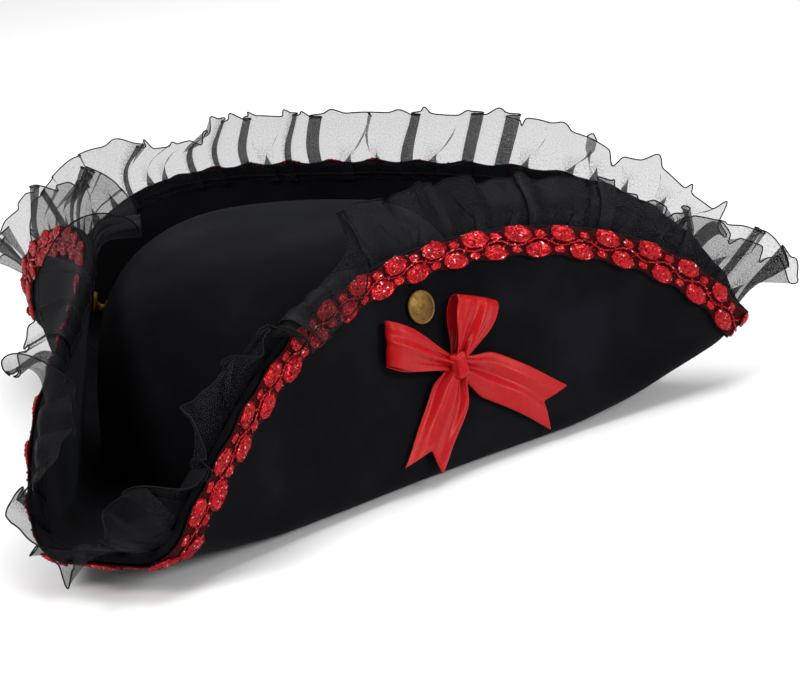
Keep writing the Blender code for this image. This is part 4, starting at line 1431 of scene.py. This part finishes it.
# The share of a loop's reach at which it begins to turn back.
LOOP_TURN = 0.86
NOTCH_DEPTH = 0.010
RIBBON_COLUMNS = 25
# Ribbon that each loop and tail takes.
LOOP_CUT = 0.088
TAIL_CUT = 0.058


def heading(tip):
    """The way to a tip, the way across it, and its distance."""
    reach = np.linalg.norm(tip)
    way = np.array(tip) / reach
    return way, np.array([-way[1], way[0]]), reach


def spread(pinch, half, share):
    """Half width of a ribbon that opens from a pinch to its full half width."""
    return pinch + (half - pinch) * float(smoothstep(share))


def ribbon_piece(name, rows, settings):
    """A ribbon from its rows about the knot: each has its place along the ribbon, its middle, the
    way across, its half width, and functions for its lift and its stretch across the width."""
    across = np.linspace(-1, 1, RIBBON_COLUMNS)
    grid, flat = [], []
    for run, middle, side, half, lift, stretch in rows:
        spot = middle + side * (across * half)[:, None] + stretch(across)
        grid.append(np.column_stack([spot, lift(across)]))
        flat.append(np.stack([np.full_like(across, run), across * settings.width / 2], -1))
    knot = np.array([settings.knot_along, settings.knot_height, settings.lift])
    world = flap_face(*np.moveaxis(np.stack(grid) + knot, -1, 0))
    made = sheet_piece(name, world, material_of("red_satin"), np.stack(flat))
    thick = made.modifiers.new("thickness", "SOLIDIFY")
    thick.thickness = settings.thickness
    thick.offset = 0.0
    finer = made.modifiers.new("smooth", "SUBSURF")
    finer.levels = 1
    finer.render_levels = 1
    return made


class HAT_OT_bow(bpy.types.Operator):
    """Build the ribbon bow: two loops, two notched tails and the knot"""
    bl_idname = "hat.bow"
    bl_label = "Build Bow"

    def execute(self, context):
        settings = context.scene.hat_bow
        loops = (("bow_ribbon_side_loop", "bow_side_loop", (-0.0372, 0.0190), 0.0093, -0.24,
                  0.0045, 0.0),
                 ("bow_ribbon_upper_loop", "bow_upper_loop", (0.0180, 0.0252), 0.0114, -0.24,
                  0.0050, 2.0))
        tails = (("bow_ribbon_long_tail", "bow_long_tail", (-0.0283, -0.0362), 0.0104, -0.26, 0.0),
                 ("bow_ribbon_side_tail", "bow_side_tail", (0.0500, -0.0315), 0.0103, 0.16, 1.4))
        for name, node, tip, half, slant, rise, phase in loops:
            piece = self.loop(name, tip, half, slant, rise, phase, settings)
            self.finish_piece(piece, node, LOOP_CUT, settings)
        for name, node, tip, half, slant, phase in tails:
            piece = self.tail(name, tip, half, slant, phase, settings)
            self.finish_piece(piece, node, TAIL_CUT, settings)
        knot = self.knot(settings)
        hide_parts("bow_knot")
        bend_with(knot)
        return {"FINISHED"}

    def finish_piece(self, piece, node, length_cut, settings):
        """Hide the frame's part that a loop or a tail stands for, and bake the piece's place into
        its mesh; the ribbon that it takes is not used.
        """
        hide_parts(node)
        bend_with(piece)

    def loop(self, name, tip, half, slant, rise, phase, settings):
        """Out from the knot on the front layer, round the tip, and back behind."""
        way, side, reach = heading(tip)
        rows = []
        for turn in np.linspace(0, 1, 44):
            front = turn <= 0.5
            out = math.sin((1 - abs(2 * turn - 1)) * math.pi / 2) ** 0.9
            along = LOOP_START + (reach - LOOP_START) * out
            share = along / reach
            width = spread(LOOP_PINCH, half, (share - 0.05) / 0.75)
            top = LOOP_FRONT + rise * math.sin(min(share, 1.0) * math.pi * 0.62)
            middle = (top + LOOP_BACK) / 2
            past = max(share - LOOP_TURN, 0.0) / (1 - LOOP_TURN)
            round_tip = math.sqrt(max(1 - past ** 2, 0))
            lift = middle + (top - middle) * round_tip * (1 if front else -1)
            pleat = (0.0015 if front else 0.0007) * (1 - share) ** 1.3 + 0.00035
            rows.append((turn * 2 * reach, way * along, side, width,
                         self.crease(lift, pleat, phase, width),
                         self.skew(way, slant, share, half)))
        return ribbon_piece(name, rows, settings)

    def crease(self, lift, pleat, phase, width):
        def field(across):
            fold = (np.cos(across * 5.2 + phase) + 0.6 * np.cos(across * 9.4 - phase * 1.7))
            droop = -0.0012 * np.abs(across) ** 3 * min(width / 0.01, 1)
            return np.maximum(lift + pleat * fold + droop, 0.0003)
        return field

    def skew(self, way, slant, share, half):
        """Corners of a loop's tip stand out, more on one side than on the other."""
        def field(across):
            reach = share ** 2.2 * (slant * across * half - 0.0005 * across ** 2)
            return way[None] * reach[:, None]
        return field

    def tail(self, name, tip, half, slant, phase, settings):
        """A ribbon end from the knot to its notch."""
        way, side, reach = heading(tip)
        rows = []
        for share in np.linspace(0.05, 1, 34):
            width = spread(TAIL_PINCH, half, (share - 0.03) / 0.30)
            middle = way * reach * share + side * 0.0016 * math.sin(share * math.pi)
            lift = (0.0030 * (1 - share) + 0.0012 + 0.0016 * math.sin(share * 5.0 + phase) ** 2
                    * share)
            pleat = 0.0011 * (1 - share) ** 1.4 + 0.00018
            rows.append((share * reach, middle, side, width,
                         self.crease(lift, pleat, phase + 1.0, width),
                         self.notch(way, share, slant * half)))
        return ribbon_piece(name, rows, settings)

    def notch(self, way, share, slant):
        """The swallow-tailed end, whose points stand out unevenly by a slant."""
        def field(across):
            reach = (NOTCH_DEPTH * (np.abs(across) - 0.62) + slant * across) * share ** 3
            return way[None] * reach[:, None]
        return field

    def knot(self, settings):
        """The ribbon's wrapped knot, creased up and down, narrower at its waist."""
        segments = 40
        turns = np.arange(segments) * FULL_TURN / segments
        wide, tall, deep = KNOT_HALF
        off = settings.lift + KNOT_LIFT
        rings = []
        for share in np.linspace(-1, 1, 24)[1:-1]:
            waist = (1 - abs(share) ** 6) ** 0.35
            pinch = 0.92 + 0.08 * share ** 2
            crease = 1 + 0.055 * np.cos(turns * 6 + share * 1.2) + 0.03 * np.cos(turns * 11 + 1)
            x = wide * waist * pinch * np.cos(turns) * crease
            z = deep * waist * pinch * np.sin(turns) * crease
            y = tall * share + 0.0006 * np.sin(turns * 2 + 0.5)
            rings.append(flap_face(settings.knot_along + x, settings.knot_height + y, off + z))
        poles = [flap_face(np.array([settings.knot_along]),
                           np.array([settings.knot_height + tall * end]), np.array([off]))
                 for end in (-1, 1)]
        everything = [poles[0]] + rings + [poles[1]]
        flat = []
        for ring in everything:
            flat.append(np.stack([np.linspace(0, 0.02, len(ring)),
                                  np.full(len(ring), len(flat) * 0.0005)], -1))
        return rings_piece("bow_ribbon_knot", everything, material_of("red_satin"),
                           uv=np.concatenate(flat))


# ---- Snap fasteners ------------------------------------------------------------------------
# Heights of a stud's underside and top over the crown, and the radius of the shanks under it and
# under a cap.
STUD_FOOT = 0.0003
STUD_TOP = 0.0057
SHANK_RADIUS = 0.0016
# Outlines to turn about a snap's axis, as (radius, height).
SOCKET_PROFILE = ((0.0035, 0.0), (0.0052, 0.0), (0.0058, 0.0004), (0.0058, 0.0013),
                  (0.0055, 0.0020), (0.0050, 0.0024), (0.0040, 0.0024), (0.0035, 0.0020))
STUD_PROFILE = ((0, STUD_FOOT), (0.0046, STUD_FOOT), (0.0048, 0.0006), (0.0047, 0.0011),
                (0.0034, 0.0013), (0.0022, 0.0017), (0.0020, 0.0024), (0.0020, 0.0036),
                (0.0024, 0.0041), (0.0026, 0.0046), (0.0024, 0.0051), (0.0017, 0.0055),
                (0, STUD_TOP))
POST_PROFILE = ((0, -0.0041), (0.0046, -0.0041), (0.0046, -0.0035), (SHANK_RADIUS, -0.0035),
                (SHANK_RADIUS, 0.0), (0, 0.0))


def turned_piece(name, profile, place, axis, segments, closed=False):
    """A round piece from (radius, height) pairs about an axis."""
    turn = Vector((0, 0, 1)).rotation_difference(Vector(axis)).to_matrix()
    turns = np.arange(segments) * FULL_TURN / segments
    rings = []
    for radius, height in profile:
        angles = turns if radius > 0 else turns[:1]
        ring = np.stack([radius * np.cos(angles), radius * np.sin(angles),
                         np.full(len(angles), height)], -1)
        rings.append(ring @ np.array(turn).T + np.array(place))
    return rings_piece(name, rings, material_of("aged_brass"), closed=closed)


def rounded(profile, reach):
    """Replace a profile's corners by three points that turn them gently."""
    made = [profile[0]]
    for before, corner, after in zip(profile, profile[1:], profile[2:]):
        corner = np.array(corner, float)
        cuts = []
        for other in (np.array(before, float), np.array(after, float)):
            way = other - corner
            size = np.linalg.norm(way)
            cuts.append(corner + way / max(size, 1e-9) * min(reach, size * 0.45))
        made += [tuple(cuts[0]), tuple((cuts[0] + cuts[1] + 2 * corner) / 4), tuple(cuts[1])]
    made.append(profile[-1])
    return made


class HAT_OT_snaps(bpy.types.Operator):
    """Build the brass snap fasteners: cap, socket, stud and post"""
    bl_idname = "hat.snaps"
    bl_label = "Build Snaps"

    def execute(self, context):
        settings = context.scene.hat_snaps
        for flap in FLAPS:
            radius = np.array([flap.fold + SNAP_HEIGHT])
            angle = np.array([flap.angle])
            middle, _, _, normal = (value[0] for value in brim_frame(radius, angle))
            stud = box_middle(f"{flap.name}_snap_stud")
            outward = unit(stud - box_middle(f"{flap.name}_snap_post"))
            foot = stud - outward * (STUD_FOOT + STUD_TOP) / 2
            sides = (("cap", self.cap_profile(settings), middle - normal * HALF_BRIM, -normal,
                      flap.body),
                     ("socket", SOCKET_PROFILE, middle + normal * (HALF_BRIM + settings.seat),
                      normal, flap.body),
                     ("stud", STUD_PROFILE, foot, outward, "root"),
                     ("post", rounded(POST_PROFILE, 0.00015), foot, outward, "root"))
            for kind, profile, place, axis, body in sides:
                piece = turned_piece(f"{flap.name}_brass_{kind}", profile, place, axis,
                                     settings.segments, closed=kind == "socket")
                piece.data.set_sharp_from_angle(angle=math.radians(50))
                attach(piece, body)
                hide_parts(f"{flap.name}_snap_{kind}")
        return {"FINISHED"}

    def cap_profile(self, settings):
        """A domed cap with a rolled rim, and its rivet through the brim."""
        reach, seat = settings.cap_radius, settings.seat
        head = seat + settings.cap_rim
        dome = [(reach * share, head + settings.cap_dome * (1 - share ** 2.2) - 0.00012)
                for share in (0.90, 0.80, 0.65, 0.48, 0.30, 0.14)]
        corners = [(0, -2 * HALF_BRIM), (SHANK_RADIUS, -2 * HALF_BRIM),
                   (SHANK_RADIUS, seat - 0.0003), (reach - 0.0006, seat - 0.0003), (reach, seat),
                   (reach, head), (reach * 0.965, head + 0.00032), (reach * 0.93, head + 0.00016)]
        return rounded(corners, 0.0002) + dome + [(0, head + settings.cap_dome)]



# ---- Stage ---------------------------------------------------------------------------------
# Half the floor's width, and how far the floor lies below the brim's lowest place.
FLOOR_HALF = 6.0
FLOOR_DROP = 0.0005
# How far to the right of the hat's middle, and below it, the camera aims.
AIM_RIGHT = 0.0503
AIM_DOWN = 0.0021


class HAT_OT_stage(bpy.types.Operator):
    """Set the floor, lights and camera"""
    bl_idname = "hat.stage"
    bl_label = "Set Stage"

    def execute(self, context):
        settings = context.scene.hat_stage
        self.floor(settings)
        self.light("key", (-0.7, -1.5, 1.7), 0.9, 42.0)
        self.light("side", (1.75, -0.2, 0.8), 0.6, 24.0)
        self.light("top", (0.2, 0.6, 2.2), 1.5, 46.0)
        self.world(context.scene)
        self.camera(context.scene, settings)
        return {"FINISHED"}

    def floor(self, settings):
        corners = [(x * FLOOR_HALF, y * FLOOR_HALF, -FLOOR_DROP)
                   for x, y in ((-1, -1), (1, -1), (1, 1), (-1, 1))]
        material = new_material("pale_floor", tuple(settings.floor_colour), 0.8)[0]
        floor = add_piece("floor", corners, [[0, 1, 2, 3]], material)

    def light(self, name, place, size, power):
        data = bpy.data.lights.new(name, "AREA")
        data.size = size
        data.energy = power
        lamp = bpy.data.objects.new(name, data)
        lamp.location = place
        way = Vector((0.0, 0.0, 0.06)) - Vector(place)
        lamp.rotation_euler = way.to_track_quat("-Z", "Y").to_euler()
        bpy.context.scene.collection.objects.link(lamp)

    def world(self, scene):
        world = bpy.data.worlds.new("studio")
        world.use_nodes = True
        background = world.node_tree.nodes["Background"]
        background.inputs["Color"].default_value = (1.0, 1.0, 1.0, 1.0)
        background.inputs["Strength"].default_value = 0.42
        scene.world = world
        scene.view_settings.view_transform = "Standard"

    def camera(self, scene, settings):
        """Stand off at an azimuth and elevation, rolled, and aimed a little beside the hat."""
        azimuth, elevation, roll = settings.azimuth, settings.elevation, settings.roll
        back = Vector((math.sin(azimuth) * math.cos(elevation),
                       -math.cos(azimuth) * math.cos(elevation), math.sin(elevation)))
        level = Vector((math.cos(azimuth), math.sin(azimuth), 0.0))
        upright = back.cross(level)
        right = level * math.cos(roll) + upright * math.sin(roll)
        up = -level * math.sin(roll) + upright * math.cos(roll)
        target = Vector((0.0, 0.0, 0.05)) + right * AIM_RIGHT - up * AIM_DOWN
        data = bpy.data.cameras.new("camera")
        data.lens = settings.lens
        camera = bpy.data.objects.new("camera", data)
        turn = Matrix((right, up, back)).transposed().to_4x4()
        camera.matrix_world = Matrix.Translation(target + back * settings.distance) @ turn
        scene.collection.objects.link(camera)
        scene.camera = camera


class HAT_PT_panel(bpy.types.Panel):
    """Buttons for each part of the hat"""
    bl_idname = "HAT_PT_panel"
    bl_label = "Pirate Hat"
    bl_space_type = "VIEW_3D"
    bl_region_type = "UI"
    bl_category = "Hat"

    def draw(self, context):
        for operator, group in STEPS:
            box = self.layout.box()
            box.operator(operator.bl_idname)
            settings = getattr(context.scene, group)
            for name in settings.__annotations__:
                box.prop(settings, name)


STEPS = ((HAT_OT_crown, "hat_crown"), (HAT_OT_brim, "hat_brim"), (HAT_OT_braid, "hat_braid"),
         (HAT_OT_ruffle, "hat_ruffle"), (HAT_OT_bow, "hat_bow"), (HAT_OT_snaps, "hat_snaps"),
         (HAT_OT_stage, "hat_stage"))
GROUPS = {"hat_crown": HatCrownSettings, "hat_brim": HatBrimSettings,
          "hat_braid": HatBraidSettings, "hat_ruffle": HatRuffleSettings,
          "hat_bow": HatBowSettings, "hat_snaps": HatSnapSettings,
          "hat_stage": HatStageSettings}


def register():
    for name, group in GROUPS.items():
        bpy.utils.register_class(group)
        setattr(bpy.types.Scene, name, PointerProperty(type=group))
    for operator, _ in STEPS:
        bpy.utils.register_class(operator)
    bpy.utils.register_class(HAT_PT_panel)


def unregister():
    bpy.utils.unregister_class(HAT_PT_panel)
    for operator, _ in reversed(STEPS):
        bpy.utils.unregister_class(operator)
    for name, group in reversed(list(GROUPS.items())):
        delattr(bpy.types.Scene, name)
        bpy.utils.unregister_class(group)


def main():
    register()
    for operator, _ in STEPS:
        space, name = operator.bl_idname.split(".")
        getattr(getattr(bpy.ops, space), name)()


if __name__ == "__main__":
    main()
